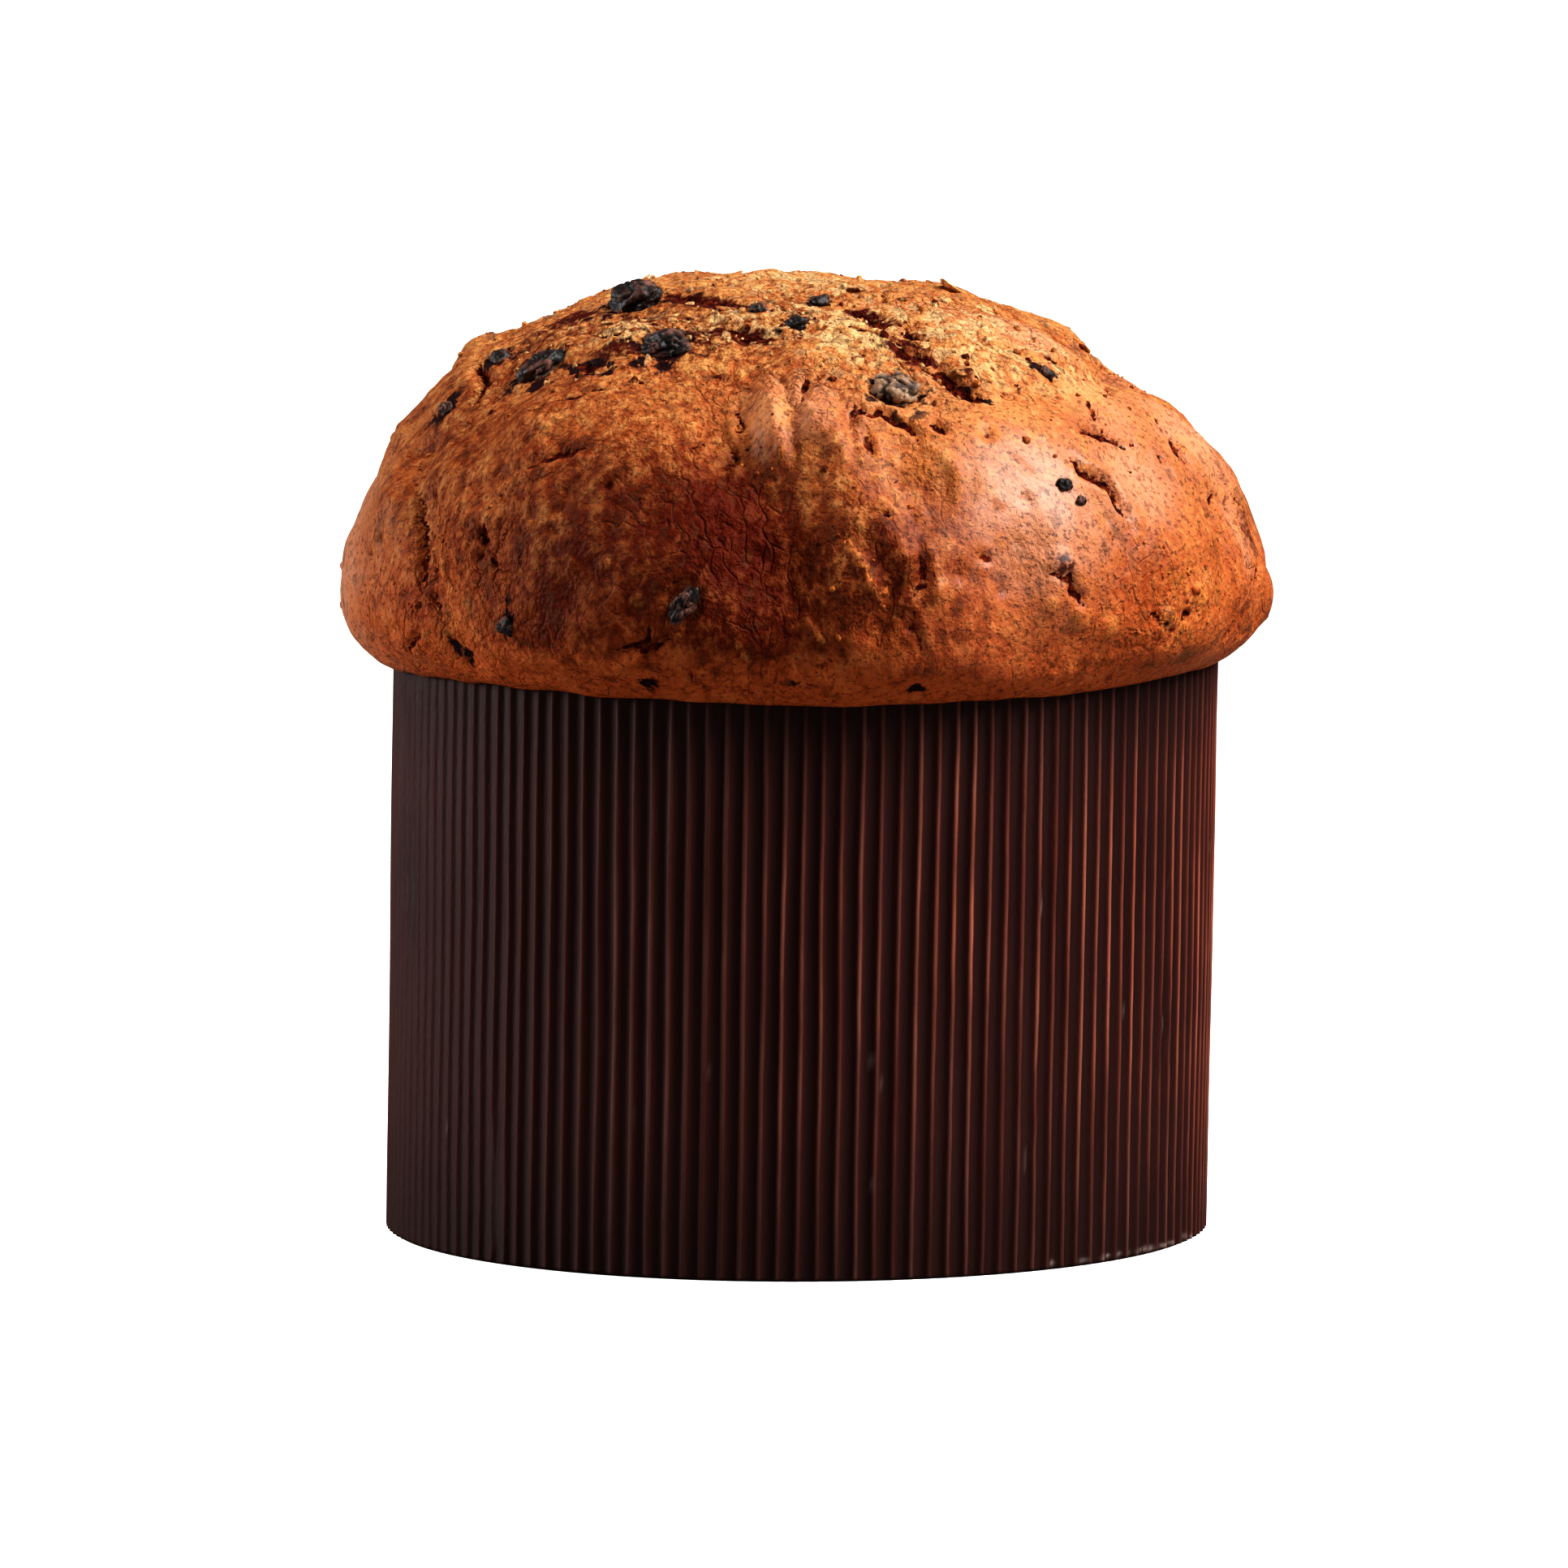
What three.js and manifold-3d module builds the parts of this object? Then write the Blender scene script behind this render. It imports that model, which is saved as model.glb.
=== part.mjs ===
// A panettone in its ribbed paper baking case, in millimetres, +Z up.
// The origin is the centre of the case's base, on the surface that it stands on. The front is -Y.
// Azimuths are in degrees round the loaf, 0 at the front and 90 at the right (+X).

import * as THREE from "three";
import { mergeVertices } from "three/addons/utils/BufferGeometryUtils.js";
import Module from "manifold-3d";

// The case: a corrugated paper mould for a loaf of 750 g
const CASE_DIAMETER = 154;
const CASE_HEIGHT = 110;
const CASE_WALL = 1.4;
const CASE_FLOOR = 1.0;
const RIB_COUNT = 140;
const RIB_DEPTH = 0.9;
const RIB_FOOT = 1.2;
const BASE_DIAMETER = 151.8;
const BASE_EDGE = 1.6;
const BASE_CHAMFER = 0.4;

// The loaf: a domed crown that has risen over the rim of the case and hangs outside it
const CROWN_DIAMETER = 174.4;
const CROWN_TOP = 178.3;
const CROWN_WAIST = 118;
const LIP_DROP = 14.5;
const LIP_SETBACK = 14;
const LIP_TILT_RIGHT = 1.0;
const LIP_TILT_FRONT = 1.2;
const LIP_TILT_END = 134;
const GAP = 0.3;
const LEAN = 0.0163;

// How finely the surfaces are divided
const CROWN_COLUMNS = 96;
const DOME_ROWS = 23;
const LIP_ROWS = 6;
const RELIEF_FADE = 8;
const BORE_SIDES = 96;
const RAISIN_COLUMNS = 11;
const RAISIN_ROWS = 7;
const LUMP_COLUMNS = 7;
const LUMP_ROWS = 5;

// Uneven rising: waves of random direction, given by their length and height
const LUMP_WAVES = { length: 44, height: 0.7, count: 24, seed: 11 };
const FOLD_WAVES = { length: 18, height: 0.4, count: 32, seed: 23 };

// Broad swells (rise above 0) and dents (below 0), with the radius over which they fade
const SWELLS = [
  { azimuth: 27, height: 141, rise: 3.0, spread: 20 },
  { azimuth: -33, height: 137, rise: 2.2, spread: 20 },
  { azimuth: -76, height: 126, rise: 1.4, spread: 13 },
  { azimuth: -90, height: 169, rise: 3.6, spread: 18 },
  { azimuth: -90, height: 151, rise: 1.0, spread: 11 },
  { azimuth: -90, height: 118, rise: 1.1, spread: 9 },
  { azimuth: -90, height: 175.5, rise: 1.2, spread: 10 },
  { azimuth: 0, height: 178.2, rise: -1.4, spread: 12 },
  { azimuth: 85, height: 176.5, rise: 1.1, spread: 11 },
  { azimuth: 90, height: 163, rise: -6.6, spread: 12 },
  { azimuth: 90, height: 144, rise: -1.0, spread: 18 },
  { azimuth: 90, height: 115, rise: 2.2, spread: 9 },
  { azimuth: 48, height: 118, rise: 1.3, spread: 12 },
  { azimuth: 142, height: 139, rise: 2.6, spread: 21 },
  { azimuth: -146, height: 137, rise: 2.4, spread: 20 },
  { azimuth: 178, height: 163, rise: 1.6, spread: 18 },
];

// Creases (rise below 0) and ridges (above 0) that follow a path over the crown
const FOLDS = [
  { path: [[-13, 152], [-5, 138], [-3, 126], [-1, 113]], rise: -3.4, width: 9 },
  { path: [[0, 162], [5, 142], [10, 128], [15, 113]], rise: 1.5, width: 7 },
  { path: [[-66, 146], [-56, 134], [-53, 126], [-48, 116], [-46, 107]], rise: -2.2, width: 4 },
  { path: [[7, 131], [10, 126], [8, 120]], rise: -1.8, width: 3.5 },
  { path: [[64, 138], [62, 128]], rise: -1.2, width: 3.5 },
  { path: [[72, 139], [70, 126], [78, 112]], rise: -1.5, width: 4 },
  { path: [[62, 161], [84, 162.5], [112, 162]], rise: -2.6, width: 5 },
  { path: [[112, 152], [122, 136], [116, 114]], rise: -2.4, width: 5 },
  { path: [[178, 150], [172, 134], [-178, 116]], rise: -2.8, width: 7 },
  { path: [[-112, 146], [-106, 130], [-110, 110]], rise: -2.0, width: 4 },
];

// Raisins that stand out of the crust: half length, half width, half thickness, turn in the
// surface, and how far each stands proud of the crust
const RAISINS = [
  { name: "raisin_pale", azimuth: 13.2, height: 157.9, half: [4.7, 4.2, 3.4], turn: 20, proud: 2.4 },
  { name: "raisin_summit", azimuth: -58, height: 172.4, half: [6.2, 4.4, 3.2], turn: 10, proud: 2.6 },
  { name: "raisin_brow", azimuth: -30, height: 165.8, half: [5.4, 3.8, 3.0], turn: 5, proud: 2.0 },
  { name: "raisin_shoulder", azimuth: -55, height: 162, half: [5.2, 3.9, 2.8], turn: 60, proud: 1.6 },
  { name: "raisin_front", azimuth: -14.4, height: 122.5, half: [4.2, 2.4, 2.6], turn: 62, proud: 0.9 },
  { name: "raisin_back_left", azimuth: -138, height: 158, half: [5.2, 4.0, 3.0], turn: 35, proud: 2.0 },
  { name: "raisin_back", azimuth: 171, height: 141, half: [4.6, 3.6, 2.9], turn: 100, proud: 1.6 },
  { name: "raisin_back_right", azimuth: 128, height: 160, half: [5.4, 4.1, 3.1], turn: -25, proud: 2.2 },
];
const RAISIN_WRINKLE = 0.09;

// Small bits of raisin baked into the crust: where they are and their half width
const BITS = [
  { azimuth: -3.7, height: 170, half: 2.2 },
  { azimuth: 2.6, height: 173.7, half: 1.9 },
  { azimuth: -14.2, height: 172, half: 1.8 },
  { azimuth: -37.2, height: 118.1, half: 2.2 },
  { azimuth: 32.5, height: 140, half: 1.7 },
  { azimuth: 42, height: 160, half: 1.8 },
  { azimuth: -71, height: 162, half: 2.6 },
  { azimuth: -68.4, height: 153, half: 2.0 },
  { azimuth: 152, height: 168, half: 2.2 },
  { azimuth: -164, height: 152, half: 2.0 },
  { azimuth: 108, height: 140, half: 2.1 },
];
const BIT_FLATNESS = 0.75;
const BIT_SINK = 0.45;

const CRUST = new THREE.MeshStandardMaterial({ color: 0xa4582b, roughness: 0.42, metalness: 0 });
const PAPER = new THREE.MeshStandardMaterial({ color: 0x2b1613, roughness: 0.55, metalness: 0 });
const RAISIN = new THREE.MeshStandardMaterial({ color: 0x2a1a16, roughness: 0.5, metalness: 0 });

const DEGREE = Math.PI / 180;
const MERGE_DISTANCE = 1e-3;
const CASE_RADIUS = CASE_DIAMETER / 2;
const BORE_RADIUS = CASE_RADIUS - CASE_WALL;
const BODY_RADIUS = BORE_RADIUS - GAP;
const COLLAR_RADIUS = CASE_RADIUS + GAP;
const CROWN_RADIUS = CROWN_DIAMETER / 2;
const DOME_RISE = CROWN_TOP - CROWN_WAIST;
const LIP_END = Math.acos((COLLAR_RADIUS - (CROWN_RADIUS - LIP_SETBACK)) / LIP_SETBACK);

const wasm = await Module();
wasm.setup();

// A closed geometry as a solid: only positions are kept, shared vertices are merged, and the
// triangles that collapse at a pole are dropped
function solidOf(geometry) {
  const bare = geometry.clone();
  bare.deleteAttribute("normal");
  bare.deleteAttribute("uv");
  const merged = mergeVertices(bare, MERGE_DISTANCE);
  const corners = merged.index.array;
  const triVerts = [];
  for (let i = 0; i < corners.length; i += 3) {
    const [a, b, c] = corners.slice(i, i + 3);
    if (a !== b && b !== c && c !== a) triVerts.push(a, b, c);
  }
  return new wasm.Manifold(
    new wasm.Mesh({
      numProp: 3,
      vertProperties: merged.getAttribute("position").array,
      triVerts: new Uint32Array(triVerts),
    }),
  );
}

// A solid's vertices and triangles as a geometry
function geometryOf(solid) {
  const mesh = solid.getMesh();
  const geometry = new THREE.BufferGeometry();
  geometry.setAttribute("position", new THREE.BufferAttribute(mesh.vertProperties, 3));
  geometry.setIndex(new THREE.BufferAttribute(mesh.triVerts, 1));
  return geometry;
}

// A named mesh, sheared so that the whole loaf leans a little to the right as it rises
function leaningMesh(name, geometry, material) {
  geometry.applyMatrix4(new THREE.Matrix4().makeShear(0, 0, 0, 0, LEAN, 0));
  geometry.computeVertexNormals();
  const mesh = new THREE.Mesh(geometry, material);
  mesh.name = name;
  return mesh;
}

// A stream of numbers from 0 to 1 that is the same on every run
function randomStream(seed) {
  let state = seed >>> 0;
  return () => {
    state = (Math.imul(1664525, state) + 1013904223) >>> 0;
    return state / 4294967296;
  };
}

// Waves of random direction and phase, near one length
function makeWaves({ length, height, count, seed }) {
  const random = randomStream(seed);
  const waves = [];
  for (let i = 0; i < count; i++) {
    const up = 2 * random() - 1;
    const round = 2 * Math.PI * random();
    const number = (2 * Math.PI * (0.7 + 0.6 * random())) / length;
    const flat = Math.sqrt(1 - up * up);
    const direction = new THREE.Vector3(flat * Math.cos(round), flat * Math.sin(round), up);
    waves.push({ direction: direction.multiplyScalar(number), phase: 2 * Math.PI * random() });
  }
  const scale = height * Math.sqrt(2 / count);
  return (point) =>
    scale * waves.reduce((sum, wave) => sum + Math.sin(wave.direction.dot(point) + wave.phase), 0);
}

const lumps = makeWaves(LUMP_WAVES);
const folds = makeWaves(FOLD_WAVES);

// The smooth crown's radius at a height: a half ellipse above the waist, a tighter one below it
function crownRadius(height) {
  if (height >= CROWN_WAIST) {
    const t = Math.min((height - CROWN_WAIST) / DOME_RISE, 1);
    return CROWN_RADIUS * Math.sqrt(1 - t * t);
  }
  const t = Math.min((CROWN_WAIST - height) / LIP_DROP, 1);
  return CROWN_RADIUS - LIP_SETBACK + LIP_SETBACK * Math.sqrt(1 - t * t);
}

// A point of the smooth crown
function crownPoint(azimuth, height) {
  const radius = crownRadius(height);
  const angle = azimuth * DEGREE;
  return new THREE.Vector3(radius * Math.sin(angle), -radius * Math.cos(angle), height);
}

// The outward normal of the smooth crown at a point of it
function crownNormal(point) {
  const radius = Math.hypot(point.x, point.y);
  if (point.z >= CROWN_WAIST) {
    const up = (point.z - CROWN_WAIST) / DOME_RISE ** 2;
    return new THREE.Vector3(point.x / CROWN_RADIUS ** 2, point.y / CROWN_RADIUS ** 2, up).normalize();
  }
  const out = (radius - (CROWN_RADIUS - LIP_SETBACK)) / LIP_SETBACK ** 2;
  const down = (CROWN_WAIST - point.z) / LIP_DROP ** 2;
  return new THREE.Vector3((point.x / radius) * out, (point.y / radius) * out, -down).normalize();
}

const swells = SWELLS.map((swell) => ({ ...swell, centre: crownPoint(swell.azimuth, swell.height) }));
const foldLines = FOLDS.map((fold) => ({
  ...fold,
  points: fold.path.map(([azimuth, height]) => crownPoint(azimuth, height)),
}));

// The distance from a point to a line through several points
function distanceToPath(point, path) {
  const nearest = new THREE.Vector3();
  const segment = new THREE.Line3();
  let distance = Infinity;
  for (let i = 1; i < path.length; i++) {
    segment.set(path[i - 1], path[i]).closestPointToPoint(point, true, nearest);
    distance = Math.min(distance, nearest.distanceTo(point));
  }
  return distance;
}

// How far the crust stands out of the smooth crown at a point of it
function reliefAt(point) {
  let rise = lumps(point) + folds(point);
  for (const { centre, spread, rise: height } of swells) {
    rise += height * Math.exp(-point.distanceToSquared(centre) / (2 * spread * spread));
  }
  for (const { points, width, rise: height } of foldLines) {
    rise += height * Math.exp(-((distanceToPath(point, points) / width) ** 2));
  }
  return rise;
}

// A point of the smooth crown moved out to the crust, with the lip lower at the left and front.
// The relief fades out where the lip meets the paper
function crustPoint(point) {
  const collar = CROWN_WAIST - LIP_DROP * Math.sin(LIP_END);
  const fade = THREE.MathUtils.smoothstep(point.z, collar, collar + RELIEF_FADE);
  const moved = point.clone().addScaledVector(crownNormal(point), fade * reliefAt(point));
  const radius = Math.max(Math.hypot(point.x, point.y), 1);
  const tilt = (LIP_TILT_RIGHT * point.x + LIP_TILT_FRONT * point.y) / radius;
  moved.z += tilt * (1 - THREE.MathUtils.smoothstep(point.z, CROWN_WAIST, LIP_TILT_END));
  return moved;
}

// The loaf's half section, from the axis at its foot to the axis at its top: the body inside
// the case, the slot that the case's rim sits in, the lip and the dome
function loafProfile() {
  const points = [
    new THREE.Vector2(0, CASE_FLOOR + GAP),
    new THREE.Vector2(BODY_RADIUS, CASE_FLOOR + GAP),
    new THREE.Vector2(BODY_RADIUS, CASE_HEIGHT + GAP),
    new THREE.Vector2(COLLAR_RADIUS, CASE_HEIGHT + GAP),
  ];
  for (let i = 0; i < LIP_ROWS; i++) {
    const angle = LIP_END * (1 - i / LIP_ROWS);
    const radius = CROWN_RADIUS - LIP_SETBACK + LIP_SETBACK * Math.cos(angle);
    points.push(new THREE.Vector2(radius, CROWN_WAIST - LIP_DROP * Math.sin(angle)));
  }
  for (let i = 0; i <= DOME_ROWS; i++) {
    const angle = (Math.PI / 2) * (i / DOME_ROWS);
    const radius = i === DOME_ROWS ? 0 : CROWN_RADIUS * Math.cos(angle);
    points.push(new THREE.Vector2(radius, CROWN_WAIST + DOME_RISE * Math.sin(angle)));
  }
  return points;
}

// The bare loaf: the half section turned round the axis, with its crown moved out to the crust
function makeLoafSolid() {
  const profile = loafProfile();
  const geometry = new THREE.LatheGeometry(profile, CROWN_COLUMNS);
  geometry.rotateX(Math.PI / 2);
  const position = geometry.getAttribute("position");
  const firstCrownRow = profile.length - DOME_ROWS - 1 - LIP_ROWS;
  const point = new THREE.Vector3();
  for (let i = 0; i < position.count; i++) {
    if (i % profile.length < firstCrownRow) continue;
    point.fromBufferAttribute(position, i);
    const moved = crustPoint(point);
    position.setXYZ(i, moved.x, moved.y, moved.z);
  }
  return solidOf(geometry);
}

// The place of something set in the crust: x along its length, z out of the crust
function crustFrame(azimuth, height, turn, sink) {
  const smooth = crownPoint(azimuth, height);
  const out = crownNormal(smooth);
  const along = new THREE.Vector3(Math.cos(azimuth * DEGREE), Math.sin(azimuth * DEGREE), 0);
  along.addScaledVector(out, -along.dot(out)).normalize();
  along.applyAxisAngle(out, turn * DEGREE);
  const across = new THREE.Vector3().crossVectors(out, along);
  const frame = new THREE.Matrix4().makeBasis(along, across, out);
  frame.setPosition(crustPoint(smooth).addScaledVector(out, -sink));
  return frame;
}

// A wrinkled raisin, grown by a margin on every side
function raisinGeometry({ azimuth, height, half, turn, proud }, margin) {
  const geometry = new THREE.SphereGeometry(1, RAISIN_COLUMNS, RAISIN_ROWS);
  const position = geometry.getAttribute("position");
  const point = new THREE.Vector3();
  for (let i = 0; i < position.count; i++) {
    point.fromBufferAttribute(position, i);
    const wrinkle = Math.sin(5 * point.x + azimuth) * Math.sin(4 * point.y + height);
    const size = 1 + RAISIN_WRINKLE * wrinkle;
    const [long, wide, thick] = half.map((value) => value * size + margin);
    position.setXYZ(i, point.x * long, point.y * wide, point.z * thick);
  }
  return geometry.applyMatrix4(crustFrame(azimuth, height, turn, half[2] - proud));
}

// A small bit of raisin, sunk in the crust and fused to it
function bitGeometry({ azimuth, height, half }) {
  const geometry = new THREE.SphereGeometry(half, LUMP_COLUMNS, LUMP_ROWS);
  geometry.scale(1, BIT_FLATNESS, BIT_FLATNESS);
  return geometry.applyMatrix4(crustFrame(azimuth, height, 0, half * BIT_SINK));
}

// The loaf with a pocket for each raisin and the small bits joined to it
function makeLoaf() {
  let loaf = makeLoafSolid();
  for (const bit of BITS) {
    loaf = loaf.add(solidOf(bitGeometry(bit)));
  }
  for (const raisin of RAISINS) {
    loaf = loaf.subtract(solidOf(raisinGeometry(raisin, GAP)));
  }
  return leaningMesh("loaf", geometryOf(loaf), CRUST);
}

function makeRaisin(raisin) {
  return leaningMesh(raisin.name, raisinGeometry(raisin, 0), RAISIN);
}

// The case's outline: rib crests at the full radius and valleys between them
function ribbedOutline() {
  const outline = new THREE.Shape();
  const steps = [1, 0.55, 0, 0.55];
  for (let i = 0; i < RIB_COUNT * steps.length; i++) {
    const angle = (2 * Math.PI * i) / (RIB_COUNT * steps.length);
    const radius = CASE_RADIUS - RIB_DEPTH * (1 - steps[i % steps.length]);
    const x = radius * Math.cos(angle);
    const y = radius * Math.sin(angle);
    if (i === 0) outline.moveTo(x, y);
    else outline.lineTo(x, y);
  }
  outline.closePath();
  return outline;
}

// The paper case: a ribbed wall on a smooth base with a chamfered edge, open at the top
function makePaperCase() {
  const wall = new THREE.ExtrudeGeometry(ribbedOutline(), {
    depth: CASE_HEIGHT - RIB_FOOT,
    bevelEnabled: false,
  });
  wall.translate(0, 0, RIB_FOOT);
  const baseRadius = BASE_DIAMETER / 2;
  const base = new THREE.LatheGeometry(
    [
      new THREE.Vector2(0, 0),
      new THREE.Vector2(baseRadius - BASE_CHAMFER, 0),
      new THREE.Vector2(baseRadius, BASE_CHAMFER),
      new THREE.Vector2(baseRadius, BASE_EDGE),
      new THREE.Vector2(0, BASE_EDGE),
    ],
    BORE_SIDES,
  );
  base.rotateX(Math.PI / 2);
  const bore = new THREE.CylinderGeometry(BORE_RADIUS, BORE_RADIUS, CASE_HEIGHT, BORE_SIDES);
  bore.rotateX(Math.PI / 2);
  bore.translate(0, 0, CASE_HEIGHT / 2 + CASE_FLOOR);
  const paper = solidOf(wall).add(solidOf(base)).subtract(solidOf(bore));
  return leaningMesh("paper_case", geometryOf(paper), PAPER);
}

const panettone = new THREE.Group();
panettone.name = "panettone";
panettone.add(makePaperCase(), makeLoaf(), ...RAISINS.map(makeRaisin));

export default panettone;
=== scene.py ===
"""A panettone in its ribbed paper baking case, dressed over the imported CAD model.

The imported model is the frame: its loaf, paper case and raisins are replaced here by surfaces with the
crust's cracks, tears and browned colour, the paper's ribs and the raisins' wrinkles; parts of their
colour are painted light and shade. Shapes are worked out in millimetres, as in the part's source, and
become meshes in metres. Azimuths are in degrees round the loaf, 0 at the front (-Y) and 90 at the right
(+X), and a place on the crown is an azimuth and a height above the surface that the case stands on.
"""

from __future__ import annotations

import itertools
import logging
import math
from collections.abc import Sequence
from dataclasses import dataclass
from enum import Enum

import bpy
import numpy as np
from bpy.types import Material, Node, NodeSocket, NodeTree, Object
from mathutils import Euler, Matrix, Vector

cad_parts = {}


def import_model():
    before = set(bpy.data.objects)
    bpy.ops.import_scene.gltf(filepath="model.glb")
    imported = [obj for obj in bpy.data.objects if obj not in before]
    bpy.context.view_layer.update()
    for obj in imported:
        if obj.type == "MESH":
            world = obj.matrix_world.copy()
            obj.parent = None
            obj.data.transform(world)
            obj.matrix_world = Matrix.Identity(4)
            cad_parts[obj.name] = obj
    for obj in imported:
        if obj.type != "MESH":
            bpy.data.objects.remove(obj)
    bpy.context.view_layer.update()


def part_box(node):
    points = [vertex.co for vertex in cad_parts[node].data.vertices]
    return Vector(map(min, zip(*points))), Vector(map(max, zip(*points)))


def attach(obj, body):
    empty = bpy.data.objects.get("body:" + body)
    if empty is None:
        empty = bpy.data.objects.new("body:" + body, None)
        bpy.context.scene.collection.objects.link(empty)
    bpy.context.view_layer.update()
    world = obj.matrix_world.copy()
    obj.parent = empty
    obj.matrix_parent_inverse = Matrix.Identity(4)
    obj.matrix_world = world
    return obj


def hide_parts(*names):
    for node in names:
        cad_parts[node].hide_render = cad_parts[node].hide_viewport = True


LOG = logging.getLogger("panettone")
Array = np.ndarray
Place = tuple[float, float]
Color = tuple[float, float, float, float]

MM = 0.001
BODY = "root"

# The steps of the random draws that the part's source uses too
DRAW_FACTOR = 1664525
DRAW_STEP = 1013904223
DRAW_RANGE = 2**32

# The photograph's camera, in metres and degrees
CAMERA_PLACE = (-0.00217, -1.48576, 0.20617)
CAMERA_DIP = 4.7542
CAMERA_LENS = 183.58
SENSOR_WIDTH = 36.0


class Slot(Enum):
    """The record's material slots."""

    CRUST = "crust"
    PAPER = "paper"
    RAISIN = "raisin"


class Tint(Enum):
    """The masks that the crust's mesh carries for its material."""

    # Golden crust and crumb; on the ridges and a few patches near them it also paints a highlight
    GOLD = "gold"
    SCORCH = "scorch"
    STAIN = "stain"
    # Dark inside cracks, pits and the gaps round raisins: partly the crust's own colour, partly painted
    # shade
    CREVICE = "crevice"
    SATIN = "satin"
    # Deeper browning, partly painted shade: most of all in the dip between the front swells
    BROWNED_AND_SHADED = "browned_and_shaded"
    COARSE = "coarse"
    # Pale pinkish tint where the lamps give a sheen: painted sheen
    ROSE_SHEEN = "rose_sheen"


def smoothstep(values: Array, low: float, high: float) -> Array:
    """Rises smoothly from 0 at low to 1 at high."""
    share = np.clip((values - low) / (high - low), 0.0, 1.0)
    return share * share * (3.0 - 2.0 * share)


def bell(away: Array, width: Array | float, power: int = 2) -> Array:
    """Falls from 1 at 0 to almost 0 well beyond the width, as exp(-(away / width)^power)."""
    return np.exp(-((away / width) ** power))


def degrees_off(azimuth: Array, middle: float) -> Array:
    """How far azimuths in radians lie from one in degrees, from -180 to 180 degrees."""
    return (np.degrees(azimuth) - middle + 180.0) % 360.0 - 180.0


def ring_angles(count: int) -> Array:
    """Angles in radians, evenly spaced round a full turn from 0."""
    return 2.0 * np.pi * np.arange(count) / count


def round_points(radius: Array | float, azimuth: Array | float, height: Array | float) -> Array:
    """Points round the loaf's axis, by radius, azimuth in radians and height, on a new last axis."""
    flat = (radius * np.sin(azimuth), -radius * np.cos(azimuth))
    return np.stack(np.broadcast_arrays(*flat, height), axis=-1)


def walked(path: Array) -> tuple[Array, Array]:
    """The lengths of a path's pieces, and how far one has walked at each of its points."""
    lengths = np.linalg.norm(np.diff(path, axis=0), axis=1)
    return lengths, np.concatenate([[0.0], np.cumsum(lengths)])


def drawn_rows(seed: int, count: int, least: Sequence[float], most: Sequence[float]) -> Array:
    """Rows of random values, each column drawn evenly between its least and its most.

    Args:
        seed: The draws' seed.
        count: How many rows.
        least: The least value of each column.
        most: The most value of each column.

    Returns:
        The rows.
    """
    low, high = np.array(least), np.array(most)
    return low + np.random.default_rng(seed).random((count, len(low))) * (high - low)


def srgb(red: float, green: float, blue: float) -> Color:
    """The scene's linear colour for a colour picked as 0 to 255 on a screen."""
    shares = (value / 255.0 for value in (red, green, blue))
    linear = (s / 12.92 if s <= 0.04045 else ((s + 0.055) / 1.055) ** 2.4 for s in shares)
    return (*linear, 1.0)


@dataclass(frozen=True)
class Waves:
    """Waves of random direction and phase near one length, the same ones as in the part's source."""

    length: float
    height: float
    count: int
    seed: int

    def __call__(self, points: Array) -> Array:
        """The sum of the waves at the points.

        Each wave is a sine along its own direction, and the sum is scaled so that its usual height is
        the height given.

        Args:
            points: Places in millimetres, one a row.

        Returns:
            One height for each point.
        """
        state = self.seed
        draws = []
        for _ in range(4 * self.count):
            state = (DRAW_FACTOR * state + DRAW_STEP) % DRAW_RANGE
            draws.append(state / DRAW_RANGE)
        up, around, number, phase = np.array(draws).reshape(self.count, 4).T
        up = 2.0 * up - 1.0
        around = 2.0 * np.pi * around
        flat = np.sqrt(1.0 - up * up)
        direction = np.stack([flat * np.cos(around), flat * np.sin(around), up])
        turns = direction * (2.0 * np.pi * (0.7 + 0.6 * number) / self.length)
        scale = self.height * math.sqrt(2.0 / self.count)
        return scale * np.sin(points @ turns + 2.0 * np.pi * phase).sum(axis=1)


@dataclass(frozen=True)
class Grain:
    """Smooth random values in space, about -1 to 1, with one size of feature for each call."""

    seed: int
    stretch: float = 1.7
    sharpness: float = 3.2

    def __call__(self, points: Array, size: float) -> Array:
        """Blends the slopes drawn for the eight corners of the lattice cell round each point.

        Args:
            points: Places in millimetres, one a row.
            size: The lattice's spacing in millimetres.

        Returns:
            One value for each point.
        """
        random = np.random.default_rng(self.seed)
        order = random.permutation(256)
        slopes = random.normal(size=(256, 3))
        slopes /= np.linalg.norm(slopes, axis=1, keepdims=True)
        scaled = points / size
        cell = np.floor(scaled).astype(int)
        inside = scaled - cell
        fade = inside**3 * (inside * (inside * 6.0 - 15.0) + 10.0)
        total = np.zeros(len(points))
        for corner in itertools.product((0, 1), repeat=3):
            mark = (cell + corner) & 255
            drawn = order[(order[(order[mark[:, 0]] + mark[:, 1]) & 255] + mark[:, 2]) & 255]
            rise = ((inside - corner) * slopes[drawn]).sum(axis=1)
            total += rise * np.where(corner, fade, 1.0 - fade).prod(axis=1)
        return self.stretch * total

    def furrows(self, points: Array, size: float) -> Array:
        """Narrow lines where the values cross 0: 1 on a line and 0 away from it."""
        return np.clip(1.0 - self.sharpness * np.abs(self(points, size)), 0.0, 1.0) ** 1.5


@dataclass(frozen=True)
class Ripple:
    """One layer of random relief or shade: its seed, its size in millimetres and its height."""

    seed: int
    size: float
    rise: float
    coarse_rise: float = 0.0
    furrowed: bool = False

    def __call__(self, points: Array, coarse: Array | float = 0.0) -> Array:
        """The layer at the points.

        Args:
            points: Places in millimetres, one a row.
            coarse: How coarse the skin is at each, which adds the coarse rise.

        Returns:
            One height for each point.
        """
        grain = Grain(self.seed)
        values = grain.furrows(points, self.size) if self.furrowed else grain(points, self.size)
        return (self.rise + self.coarse_rise * coarse) * values


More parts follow.
